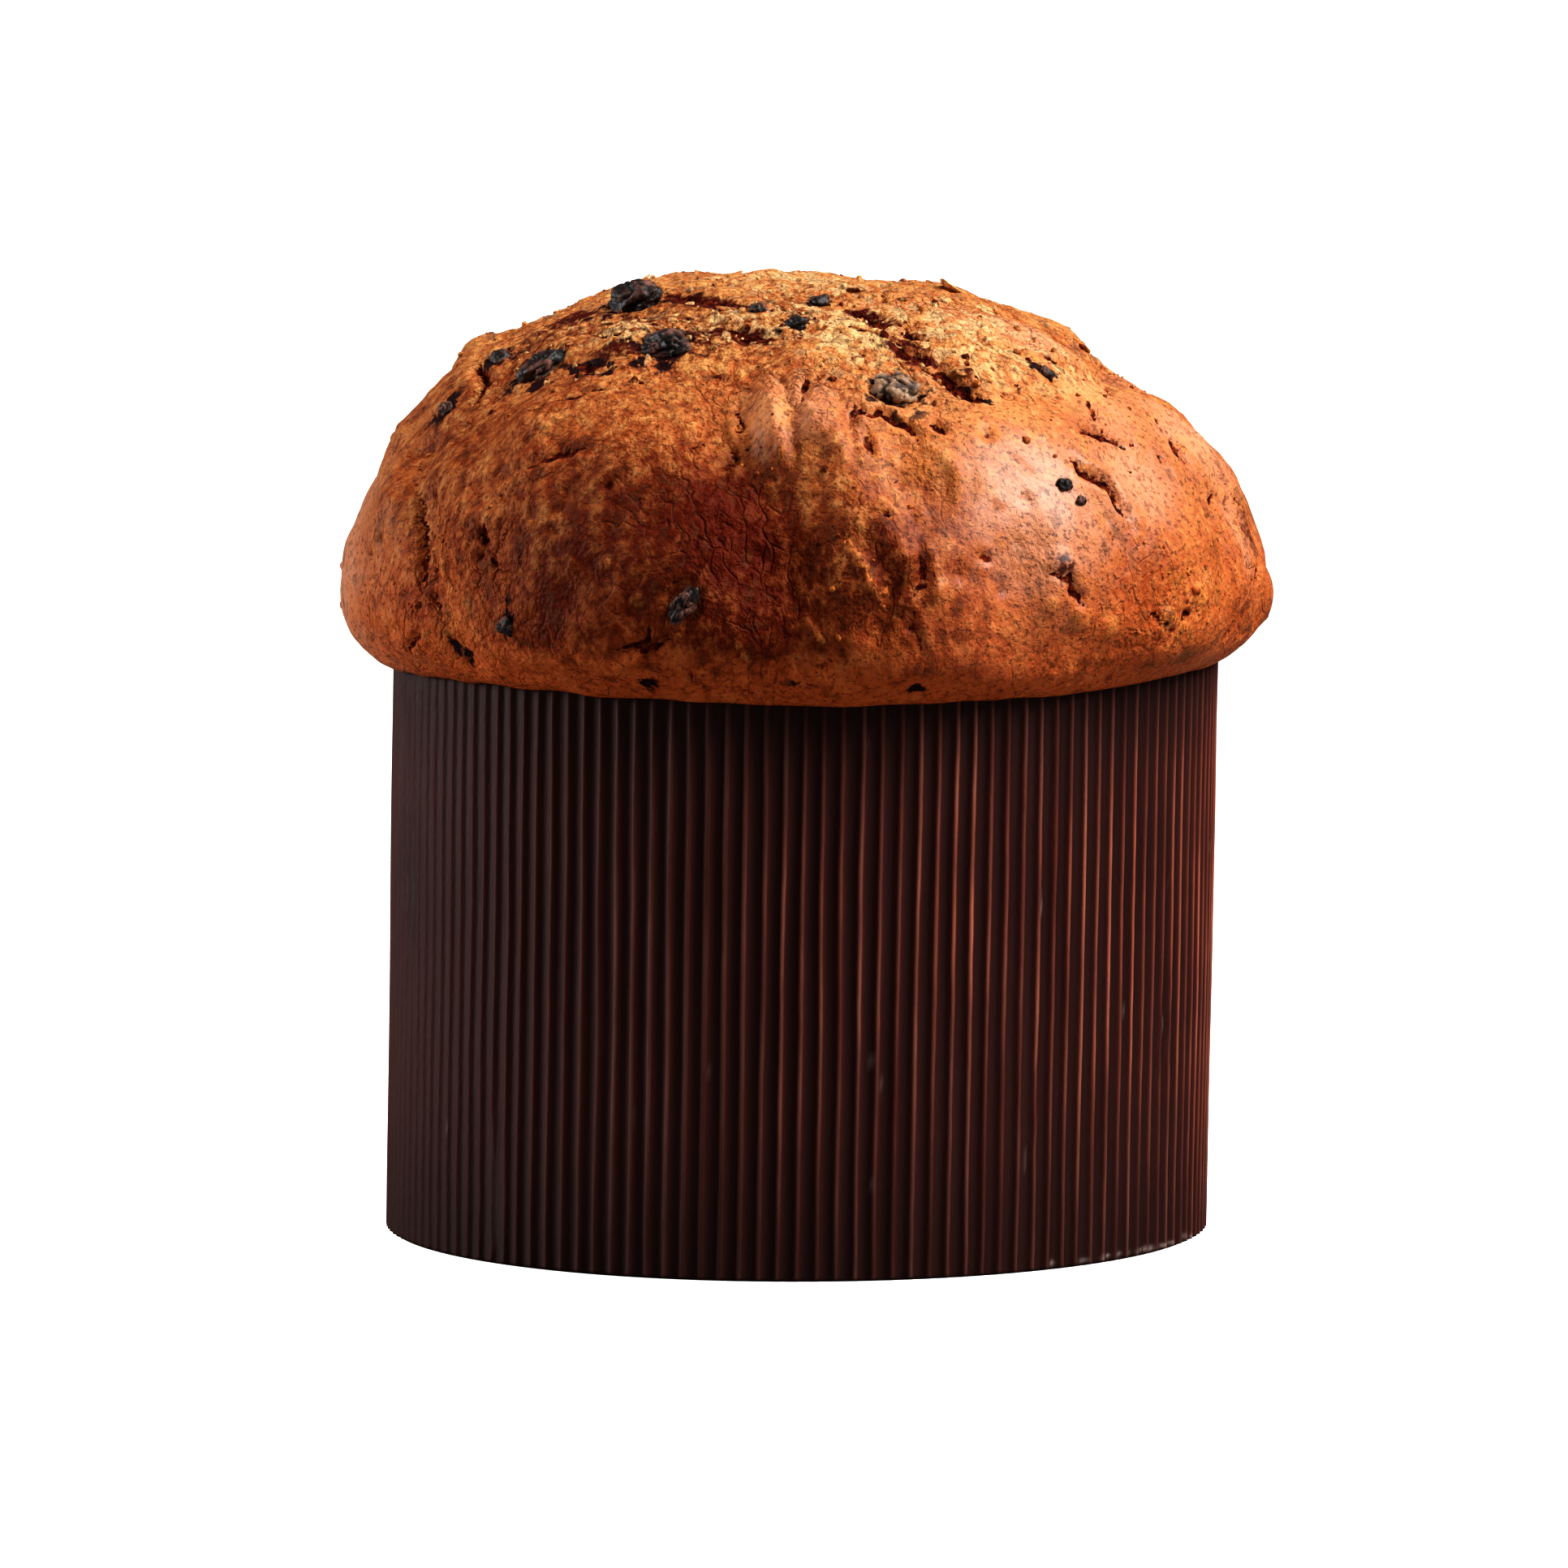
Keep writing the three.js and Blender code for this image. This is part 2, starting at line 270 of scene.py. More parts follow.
@dataclass(frozen=True)
class Spot:
    """A round swell, knob, pit or patch of colour on the crown.

    The rise fades as exp(-d^2 / 2 spread^2), and as a steeper exp(-(d / 1.6 spread)^4) when blunt.
    """

    azimuth: float
    height: float
    rise: float
    spread: float
    tint: Tint | None = None
    strength: float = 0.0
    blunt: bool = False


@dataclass(frozen=True)
class Line:
    """A crack, crease, ridge or torn edge that follows a path over the crown.

    The rise fades as exp(-(d / width)^2), or with the fourth power when blunt. A lip stands along
    both sides of a crack. A step raises the crust at the left of the path and lowers it at the right.
    The path wanders by jag, and its ends taper.
    """

    path: tuple[Place, ...]
    rise: float
    width: float
    lip: float = 0.0
    step: float = 0.0
    jag: float = 0.0
    blunt: bool = False
    tapered: bool = True
    tint: Tint | None = None
    strength: float = 0.0

    @classmethod
    def crack(cls, depth: float, width: float, *path: Place, step: float = 0.0) -> Line:
        """A narrow split with raised edges, dark inside, partly as painted shade."""
        dark = min(1.05, 0.42 + 0.6 * depth)
        return cls(path, -depth, width, 0.3 * depth, step, 0.4, tint=Tint.CREVICE, strength=dark)

    @classmethod
    def furrow(cls, depth: float, width: float, *path: Place) -> Line:
        """A soft valley with no colour of its own."""
        return cls(path, -depth, width, jag=0.25)

    @classmethod
    def ridge(cls, rise: float, width: float, *path: Place, gold: float = 0.0) -> Line:
        """A blunt raised fold of crust, its gold partly a painted highlight along its top."""
        return cls(path, rise, width, jag=0.2, blunt=True, tint=Tint.GOLD, strength=gold)

    @classmethod
    def streak(cls, tint: Tint, strength: float, width: float, *path: Place) -> Line:
        """A band of colour with no relief."""
        return cls(path, 0.0, width, jag=0.5, tint=tint, strength=strength)


@dataclass(frozen=True)
class RaisinPlace:
    """Where a raisin sits: half length, width and thickness, turn in the crust, and how proud it is."""

    name: str
    azimuth: float
    height: float
    half: tuple[float, float, float]
    turn: float
    proud: float


@dataclass(frozen=True)
class BitPlace:
    """Where a small bit of raisin is baked into the crust, with its half length."""

    azimuth: float
    height: float
    half: float


# The same main swells and folds as in the part's source: azimuth, height, rise and spread of a swell,
# and rise, width and path of a fold
MAIN_SWELLS = tuple(
    Spot(*row) for row in (
        (27, 141, 3.0, 20), (-33, 137, 2.2, 20), (-76, 126, 1.4, 13), (-90, 169, 3.6, 18),
        (-90, 151, 1.0, 11), (-90, 118, 1.1, 9), (-90, 175.5, 1.2, 10), (0, 178.2, -1.4, 12),
        (85, 176.5, 1.1, 11), (90, 163, -6.6, 12), (90, 144, -1.0, 18), (90, 115, 2.2, 9),
        (48, 118, 1.3, 12), (142, 139, 2.6, 21), (-146, 137, 2.4, 20), (178, 163, 1.6, 18),
    )
)
MAIN_FOLDS = tuple(
    Line(tuple(path), rise, width, tapered=False) for rise, width, *path in (
        (-3.4, 9, (-13, 152), (-5, 138), (-3, 126), (-1, 113)),
        (1.5, 7, (0, 162), (5, 142), (10, 128), (15, 113)),
        (-2.2, 4, (-66, 146), (-56, 134), (-53, 126), (-48, 116), (-46, 107)),
        (-1.8, 3.5, (7, 131), (10, 126), (8, 120)),
        (-1.2, 3.5, (64, 138), (62, 128)),
        (-1.5, 4, (72, 139), (70, 126), (78, 112)),
        (-2.6, 5, (62, 161), (84, 162.5), (112, 162)),
        (-2.4, 5, (112, 152), (122, 136), (116, 114)),
        (-2.8, 7, (178, 150), (172, 134), (-178, 116)),
        (-2.0, 4, (-112, 146), (-106, 130), (-110, 110)),
    )
)

# Small swells that the skyline shows beyond the part's own: flatter brows and a lower top
SKYLINE = tuple(
    Spot(*row) for row in (
        (0, 178.3, -1.0, 22), (-88, 167, -1.8, 6), (-84, 160, 0.6, 3.5), (-88, 161.5, 2.1, 3),
        (-88, 153, -1.9, 4), (-88, 138, -1.3, 8), (84, 171, -4.2, 6), (88, 176.6, 0.9, 6),
        (86, 165.5, -0.9, 4), (88, 156, 2.4, 5), (88, 144, -1.2, 4), (88, 131, -3.3, 8),
        (88, 110, -0.5, 5), (-88, 109, -0.4, 6),
    )
)

# Cracks and creases, with their depth, half width and path; some have a step
CRACKS = (
    *(Line.crack(*row) for row in (
        (0.8, 0.7, (-66.2, 144.5), (-59.5, 137.7), (-56.8, 133.1), (-54.5, 126.2), (-52.8, 121.4),
         (-50.2, 116.9), (-48, 110.1)),
        (1.3, 0.9, (-43.2, 134.6), (-42, 131), (-42.8, 126.7)),
        (1.0, 0.9, (-41.2, 128.3), (-39.2, 125.8)),
        (0.9, 0.8, (-22.2, 113.8), (-19, 115.1), (-18.5, 118.6)),
        (0.8, 0.8, (-20.5, 113), (-15.5, 116.4)),
        (0.7, 0.8, (-14.8, 110.4), (-14, 108.1)),
        (0.8, 0.8, (-32, 158), (-36, 156), (-41.5, 154.2)),
        (1.7, 1.1, (-73.5, 160), (-65.2, 158), (-63.2, 154.6)),
        (0.9, 0.9, (-0.8, 160), (-1.2, 155.5)),
        (0.9, 0.9, (6.8, 150.4), (8.5, 146.4)),
        (0.8, 1.0, (12.8, 132), (13.4, 127), (12, 123)),
        (0.7, 0.8, (9.2, 122.1), (12.2, 117.8), (14, 112), (14.5, 110.7)),
        (0.7, 0.7, (1, 114.4), (1.5, 105.1)),
        (0.8, 0.8, (8.8, 136.8), (10, 136)),
        (2.2, 1.25, (34.8, 144.1), (37, 141.6), (39.8, 141.2), (40, 138.6), (40.8, 136.6), (42, 134.8)),
        (1.0, 0.8, (50.5, 118.2), (50.2, 115.7)),
        (0.8, 0.8, (44.2, 118.2), (48.8, 114.7)),
        (1.1, 1.0, (65.8, 138.8), (61.5, 134.3), (62.8, 128.5)),
        (1.1, 1.1, (75.2, 138.6), (80, 131.3), (79.5, 125.6), (75, 117.9)),
        (0.9, 0.9, (20.2, 129.7), (22, 129)),
        (2.4, 3.0, (11, 172.4), (16.5, 168.8), (22, 166.3)),
        (1.5, 1.8, (15.5, 165.2), (21, 162)),
        (0.9, 1.3, (7.5, 168.4), (12, 167.2)),
        (0.8, 0.8, (17.8, 161.5), (20.5, 160.5)),
        (2.0, 1.9, (21.6, 161.6), (23, 158), (26.4, 154.4)),
        (0.8, 0.8, (27, 159.5), (28, 158.3)),
        (1.5, 0.9, (5.8, 153.6), (10.8, 153.3), (13.8, 151.6), (14.5, 148.6)),
        (1.3, 0.9, (16.8, 151.6), (18.5, 149.2)),
        (1.0, 0.9, (41.8, 160.8), (41.8, 158.5)),
        (1.3, 1.0, (48.5, 156.2), (45, 152.1)),
        (1.3, 0.9, (38.2, 149.6), (44.2, 149.6), (47.5, 148.2), (52, 147.8)),
        (1.0, 0.8, (56, 146.4), (55, 144.8)),
        (1.3, 0.95, (64.2, 153.6), (61, 144.2)),
        (1.4, 2.2, (-50, 173.9), (-34.5, 173.2), (-19, 172.5)),
        (1.2, 1.8, (-22, 169.2), (-16.5, 169.2), (-9.5, 167.9)),
        (1.0, 1.4, (-45.5, 162.2), (-36, 160.6)),
        (0.8, 1.0, (-55, 167), (-42, 166.5), (-36, 168)),
        (1.2, 1.0, (118, 150), (121, 143), (117, 137), (119, 130)),
        (1.4, 1.0, (176, 156), (171, 149), (173, 141), (168, 133)),
        (1.5, 1.0, (-112, 147), (-107, 138), (-106, 129), (-110, 118), (-110, 108)),
        (1.1, 0.9, (150, 151), (157, 149.5), (163, 151)),
        (1.2, 0.9, (-160, 148), (-152, 150), (-147, 148)),
        (1.4, 1.2, (-168, 167), (-158, 165), (-151, 166.5)),
        (1.2, 0.9, (137, 131), (141, 126), (139, 121)),
        (1.0, 0.9, (-131, 127), (-135, 121), (-132, 115)),
        (1.3, 1.0, (100, 148), (104, 141), (101, 136)),
        (1.2, 0.9, (-92, 158), (-100, 155), (-104, 150)),
    )),
    *(Line.furrow(*row) for row in (
        (1.0, 1.5, (-5.2, 161), (-2.6, 151.2), (-1.5, 144)),
        (0.6, 1.6, (-11, 160.5), (-9.2, 152), (-7.5, 146)),
        (0.8, 1.3, (4.4, 157.9), (4.6, 153), (6.5, 146)),
        (0.7, 1.3, (7.6, 132.6), (8.6, 127.5), (10.5, 122.5)),
    )),
    Line.crack(1.1, 1.0, (-38.5, 143.5), (-36, 144.8), (-32.8, 145.8), (-30.5, 146.6), step=-0.9),
    Line.crack(1.2, 0.9, (28.8, 126), (31.8, 125.8), (32.5, 122.8), (35, 119.3), step=-0.5),
    Line.crack(1.4, 1.3, (45.2, 162.6), (49.8, 161.8), (53.5, 160.2), step=0.8),
)

# Raised folds and fingers, with their height, half width, share of gold and path; the gold on the ridge tops
# is partly a painted highlight
RIDGES = tuple(
    Line.ridge(rise, width, *path, gold=gold) for rise, width, gold, *path in (
        (1.1, 3.0, 0.12, (-8, 162.1), (-5.2, 151.2), (-4, 144.4)),
        (1.1, 3.4, 0.1, (0.8, 158), (2.2, 152), (4.0, 146)),
        (1.0, 1.5, 0.1, (-10.8, 148.2), (-10, 144.2)),
        (0.7, 0.9, 0.3, (-6.8, 158.5), (-5.4, 154), (-5.2, 150)),
        (0.7, 0.8, 0.3, (-4.4, 150.5), (-3.4, 146.4)),
        (0.6, 0.8, 0.3, (-1.2, 156), (0.4, 151.2)),
        (0.6, 0.8, 0.3, (-12.5, 156), (-11, 151)),
        (0.9, 1.8, 0.15, (10.6, 131.4), (11.2, 127.6), (11, 124.4)),
        (0.8, 0.8, 0.7, (4.5, 133.7), (5.2, 130.8), (7, 126), (8.8, 122.1)),
        (0.7, 0.8, 0.7, (-0.5, 120.5), (1.8, 115.4)),
        (0.7, 0.8, 0.6, (-9, 120.5), (-7, 110.7)),
        (0.8, 1.3, 0.5, (-50.5, 131), (-50, 124), (-46.5, 115)),
        (0.7, 1.6, 0.25, (-22, 156), (-17, 152), (-14, 148)),
        (0.8, 1.5, 0.4, (16, 147), (19, 143), (18, 138)),
        (0.8, 1.6, 0.35, (62, 150), (64, 143), (66, 139)),
        (0.8, 1.5, 0.4, (124, 146), (126, 138), (123, 131)),
        (0.9, 1.8, 0.35, (-172, 150), (-175, 142), (-170, 134)),
        (0.8, 1.6, 0.3, (-100, 142), (-99, 133), (-102, 125)),
    )
)

# Knobs, blisters and pits; the pits are darkened, partly as painted shade
KNOBS = (
    Spot(29.2, 121.2, 1.0, 1.3, Tint.GOLD, 0.5),
    Spot(38.2, 116.6, 1.1, 2.2, Tint.GOLD, 0.5),
    Spot(53.2, 120.5, 1.0, 1.4, Tint.GOLD, 0.6, blunt=True),
    Spot(34, 118.5, 0.9, 1.6, Tint.GOLD, 0.5, blunt=True),
    Spot(47, 116.8, 0.8, 1.4, Tint.GOLD, 0.5, blunt=True),
    Spot(15, 124, 0.8, 1.1, Tint.GOLD, 0.3, blunt=True),
    Spot(22, 141, 0.5, 1.6, Tint.GOLD, 0.5),
    Spot(15.5, 144, 0.5, 1.4, Tint.GOLD, 0.45),
    Spot(-34, 140.5, 0.7, 3.0),
    Spot(-11, 147, -1.3, 2.2, Tint.CREVICE, 0.75),
    Spot(-25.7, 140.6, -0.9, 0.9, Tint.CREVICE, 0.8),
    Spot(-31.5, 139.9, -0.8, 0.9, Tint.CREVICE, 0.6),
    Spot(24, 148.8, -1.0, 1.0, Tint.CREVICE, 0.8),
    Spot(-56, 138.5, -0.7, 1.9, Tint.CREVICE, 0.6),
    Spot(30.5, 127.4, 0.5, 1.9, Tint.SCORCH, 0.75, blunt=True),
    Spot(155, 120, 1.0, 1.8, Tint.GOLD, 0.6, blunt=True),
    Spot(-125, 116, 1.0, 2.0, Tint.GOLD, 0.6, blunt=True),
    Spot(-170, 119, 0.9, 1.6, Tint.GOLD, 0.5, blunt=True),
)

# Patches of colour and of coarse or smooth skin, as azimuth, height, spread and strength
PATCHES = {
    # Golden crust; the patches at (-7, 154.5) and (12, 147.5) lighten the central ridges as painted light
    Tint.GOLD: (
        (10, 168, 9, 0.7), (32, 161, 8, 0.6), (47, 158, 7, 0.5), (60, 162, 8, 0.4), (20, 150, 7, 0.3),
        (-7, 154.5, 5, 0.7), (38, 170, 8, 0.4), (12, 147.5, 4, 0.5), (-23, 170.4, 5, 0.6),
        (-11, 169.4, 4, 0.45), (-39, 166.5, 4.5, 0.7), (12, 156, 6, 0.6), (28, 150, 6, 0.45),
        (-46, 169, 4, 0.5), (52, 118, 8, 0.4), (-46, 112, 6, 0.35), (0, 178, 14, 0.5), (-80, 173, 6, 0.4),
        (165, 168, 11, 0.6), (128, 166, 8, 0.5), (-128, 168, 9, 0.6), (-100, 163, 8, 0.4),
        (150, 118, 8, 0.3), (-160, 117, 8, 0.3), (-110, 115, 6, 0.3),
    ),
    Tint.SCORCH: (
        (-46, 169, 8, 0.5), (-64, 164, 6, 0.5), (-24, 168.5, 7, 0.6), (19, 165.5, 4, 0.7),
        (24, 158, 3.5, 0.5), (-57, 140, 4, 0.4), (-43, 131, 4, 0.35), (-10, 124, 14, 0.4), (8, 127, 6, 0.4),
        (-30, 128, 9, 0.3), (79, 131, 4, 0.35), (-70, 168.5, 4, 0.8), (78, 130, 5, 0.3), (-98, 166, 6, 0.5),
        (142, 171, 8, 0.65), (-152, 160, 5, 0.5), (160, 146, 6, 0.4), (112, 152, 5, 0.4), (-3, 172, 4, 0.5),
    ),
    Tint.STAIN: (
        (-54.4, 162, 3.4, 0.9), (-57, 158.6, 1.8, 0.9), (-51, 158.4, 1.6, 0.7), (-71, 162, 2.6, 0.9),
        (-57, 171.5, 4.4, 0.8), (-30, 165.6, 4.6, 0.8), (-68.4, 153, 2.0, 0.8), (-47, 108.6, 1.4, 0.6),
        (-20.2, 107.6, 1.3, 0.62), (13.5, 107, 1.2, 0.6), (-0.5, 107.4, 1.2, 0.5), (-48.5, 110.5, 1.2, 0.5),
        (-37.2, 118.1, 2.0, 0.7), (-3.7, 170, 2.2, 0.7), (2.6, 173.7, 2.0, 0.7), (42, 160, 2.0, 0.6),
        (13, 157.4, 4.2, 0.45),
    ),
    # Deeper browning and painted shade: the front patches paint the shade in the dip between the front
    # swells
    Tint.BROWNED_AND_SHADED: (
        (-10, 135.5, 11, 0.9), (-30, 121, 14, 0.55), (-5, 119, 11, 0.6), (-25, 135, 10.5, 0.45),
        (14, 113, 9, 0.4), (10, 129, 7, 0.4), (172, 134, 14, 0.6), (-110, 124, 12, 0.5),
        (122, 122, 12, 0.5), (-60, 148, 9, 0.3), (78, 130, 6, 0.3), (-46, 170, 8, 0.3),
    ),
    Tint.SATIN: (
        (29, 138, 13, 1.0), (26, 129, 8, 0.7), (50, 142, 12, 0.6), (-82, 126, 16, 0.5), (75, 165, 9, 0.6),
        (20, 118, 8, 0.3), (8, 149, 8, 0.3), (-5, 154, 6, 0.4), (142, 139, 16, 0.9), (-146, 137, 16, 0.9),
        (100, 130, 12, 0.6), (180, 126, 11, 0.6),
    ),
    # Painted sheen: pale pinkish patches, mostly where the key and fill lamps light the crust
    Tint.ROSE_SHEEN: (
        (47, 142, 8, 0.95), (54, 167, 8, 0.9), (70, 150, 11, 0.95), (74, 130, 9, 0.9), (50, 156, 8, 0.7),
        (-82, 124, 16, 1.0), (16, 156, 7, 0.5), (29, 135, 12, 0.8), (-3, 153.5, 8, 0.9), (38, 170, 9, 0.6),
        (-60, 171, 8, 0.6), (-100, 150, 12, 0.5), (140, 140, 14, 0.5), (-150, 138, 14, 0.5),
        (100, 160, 10, 0.5),
    ),
    Tint.COARSE: (
        (-46, 128, 12, 0.6), (-36, 151, 12, 0.45), (-18, 146, 10, 0.3), (8, 127, 8, 0.35),
        (2, 152, 10, 0.35), (48, 118, 9, 0.5), (-62, 154, 9, 0.6), (160, 153, 12, 0.6), (120, 142, 9, 0.6),
        (-120, 116, 10, 0.6), (168, 116, 10, 0.6), (-108, 148, 10, 0.5),
    ),
}
STREAKS = (
    Line.streak(Tint.GOLD, 0.3, 2.6, (60, 152), (57, 140), (52, 130), (50, 121)),
    Line.streak(Tint.GOLD, 0.5, 1.3, (-50.5, 133), (-50, 124), (-45, 113)),
    Line.streak(Tint.SCORCH, 1.0, 3.6, (-52, 173.7), (-34.5, 173.1), (-18, 172.4)),
    Line.streak(Tint.SCORCH, 1.0, 2.8, (-24, 169.2), (-16.5, 169.1), (-8, 167.8)),
    Line.streak(Tint.STAIN, 0.9, 2.4, (-47, 162.2), (-41, 161.4), (-34.5, 160.4)),
    Line.streak(Tint.SCORCH, 0.9, 3.0, (-43, 163.6), (-33, 164.3)),
    Line.streak(Tint.SCORCH, 0.9, 3.4, (-76, 167.6), (-63, 170.2)),
    Line.streak(Tint.SCORCH, 1.0, 4.0, (10, 172.8), (16.5, 168.8), (23, 165.8)),
    Line.streak(Tint.SCORCH, 1.0, 2.6, (15, 165.4), (21.5, 161.8)),
    Line.streak(Tint.STAIN, 0.8, 2.0, (21.6, 161.6), (23, 158), (27, 154.2)),
    Line.streak(Tint.STAIN, 0.5, 1.2, (12, 168.4), (16, 167.6), (20, 166.4)),
    Line.streak(Tint.GOLD, 0.5, 2.4, (126, 150), (130, 140), (127, 130)),
    Line.streak(Tint.STAIN, 0.6, 1.6, (-140, 164), (-132, 161.5)),
    Line.streak(Tint.STAIN, 0.6, 1.6, (126, 165), (134, 163)),
)

# The skin's own unevenness: lumps, winding folds and grains, stronger where the crust is coarse
SKIN_BEND = tuple(Ripple(seed, 7.0, 1.6) for seed in (6, 7, 8))
SKIN_LUMPS = Ripple(5, 13.0, 0.42)
SKIN_FOLDS = (
    Ripple(9, 6.4, 0.16, 0.3),
    Ripple(10, 7.5, -0.05, -0.32, furrowed=True),
    Ripple(11, 4.2, 0.0, -0.3, furrowed=True),
)
SKIN_GRAINS = (Ripple(12, 2.7, 0.03, 0.2), Ripple(13, 1.6, 0.03, 0.14))

# The thin layers at the top lie in a slanted, flattened space
LAYER_SLANT = ((0.8, 0.1, 0.2), (0.1, 1.0, 0.3), (0.5, 0.3, 2.2))
LAYER_FIELD = (Ripple(14, 11.0, 2.1), Ripple(15, 4.5, 0.7))
FLAKY_CLOUDS = Ripple(3, 16.0, 0.5)
LIP_WAVES = Ripple(17, 9.0, 0.35)

RAISINS = (
    RaisinPlace("raisin_pale", 13.2, 157.9, (4.7, 4.2, 3.4), 20, 2.4),
    RaisinPlace("raisin_summit", -58, 172.4, (6.2, 4.4, 3.2), 10, 2.6),
    RaisinPlace("raisin_brow", -30, 165.8, (5.4, 3.8, 3.0), 5, 2.0),
    RaisinPlace("raisin_shoulder", -55, 162, (5.2, 3.9, 2.8), 60, 1.6),
    RaisinPlace("raisin_front", -14.4, 122.5, (4.2, 2.4, 2.6), 62, 0.9),
    RaisinPlace("raisin_back_left", -138, 158, (5.2, 4.0, 3.0), 35, 2.0),
    RaisinPlace("raisin_back", 171, 141, (4.6, 3.6, 2.9), 100, 1.6),
    RaisinPlace("raisin_back_right", 128, 160, (5.4, 4.1, 3.1), -25, 2.2),
)
BITS = (
    BitPlace(-3.7, 170, 2.2),
    BitPlace(2.6, 173.7, 1.9),
    BitPlace(-14.2, 172, 1.8),
    BitPlace(-37.2, 118.1, 2.2),
    BitPlace(32.5, 140, 1.6),
    BitPlace(34.4, 137.4, 1.1),
    BitPlace(42, 160, 1.8),
    BitPlace(-71, 162, 2.6),
    BitPlace(-68.4, 153, 2.0),
    BitPlace(152, 168, 2.2),
    BitPlace(-164, 152, 2.0),
    BitPlace(108, 140, 2.1),
)


@dataclass
class SurfaceMesh:
    """A surface in millimetres on its way to becoming a Blender object."""

    points: Array
    faces: list[Array]
    masks: dict[str, Array]

    def make(self, name: str, material: Material, slot: Slot) -> Object:
        """Makes the object at the origin, smooth shaded, riding on the part's body.

        Args:
            name: The piece's name.
            material: Its finish.
            slot: The record's slot that the finish belongs to; not used.

        Returns:
            The new object.
        """
        mesh = bpy.data.meshes.new(name)
        faces = [face for block in self.faces for face in block.tolist()]
        mesh.from_pydata((self.points * MM).tolist(), [], faces)
        for label, values in self.masks.items():
            layer = mesh.attributes.new(label, "FLOAT", "POINT")
            layer.data.foreach_set("value", values.astype(np.float32))
        mesh.shade_smooth()
        mesh.materials.append(material)
        mesh.validate()
        mesh.update()
        piece = bpy.data.objects.new(name, mesh)
        bpy.context.scene.collection.objects.link(piece)
        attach(piece, BODY)
        LOG.info("%s: %d vertices, %d faces", name, len(mesh.vertices), len(mesh.polygons))
        return piece


def grid_faces(index: Array) -> Array:
    """Quads between closed rings of vertex numbers, a row for each ring from the foot up."""
    east = np.roll(index, -1, axis=1)
    return np.stack([index[:-1], east[:-1], east[1:], index[1:]], axis=-1).reshape(-1, 4)


def fan_faces(ring: Array, pole: int, pole_above: bool) -> Array:
    """Triangles from a closed ring of vertex numbers to a pole, above or below it."""
    east = np.roll(ring, -1)
    middle = np.full_like(ring, pole)
    order = [ring, east, middle] if pole_above else [ring, middle, east]
    return np.stack(order, axis=-1)


def closed_faces(rows: int, columns: int) -> list[Array]:
    """Faces of a surface of rings between two poles, with the lower pole's number after the rings.

    Args:
        rows: How many rings.
        columns: Points in each ring.

    Returns:
        The quads between the rings, and the triangles to each pole.
    """
    index = np.arange(rows * columns).reshape(rows, columns)
    return [
        grid_faces(index),
        fan_faces(index[0], index.size, pole_above=False),
        fan_faces(index[-1], index.size + 1, pole_above=True),
    ]


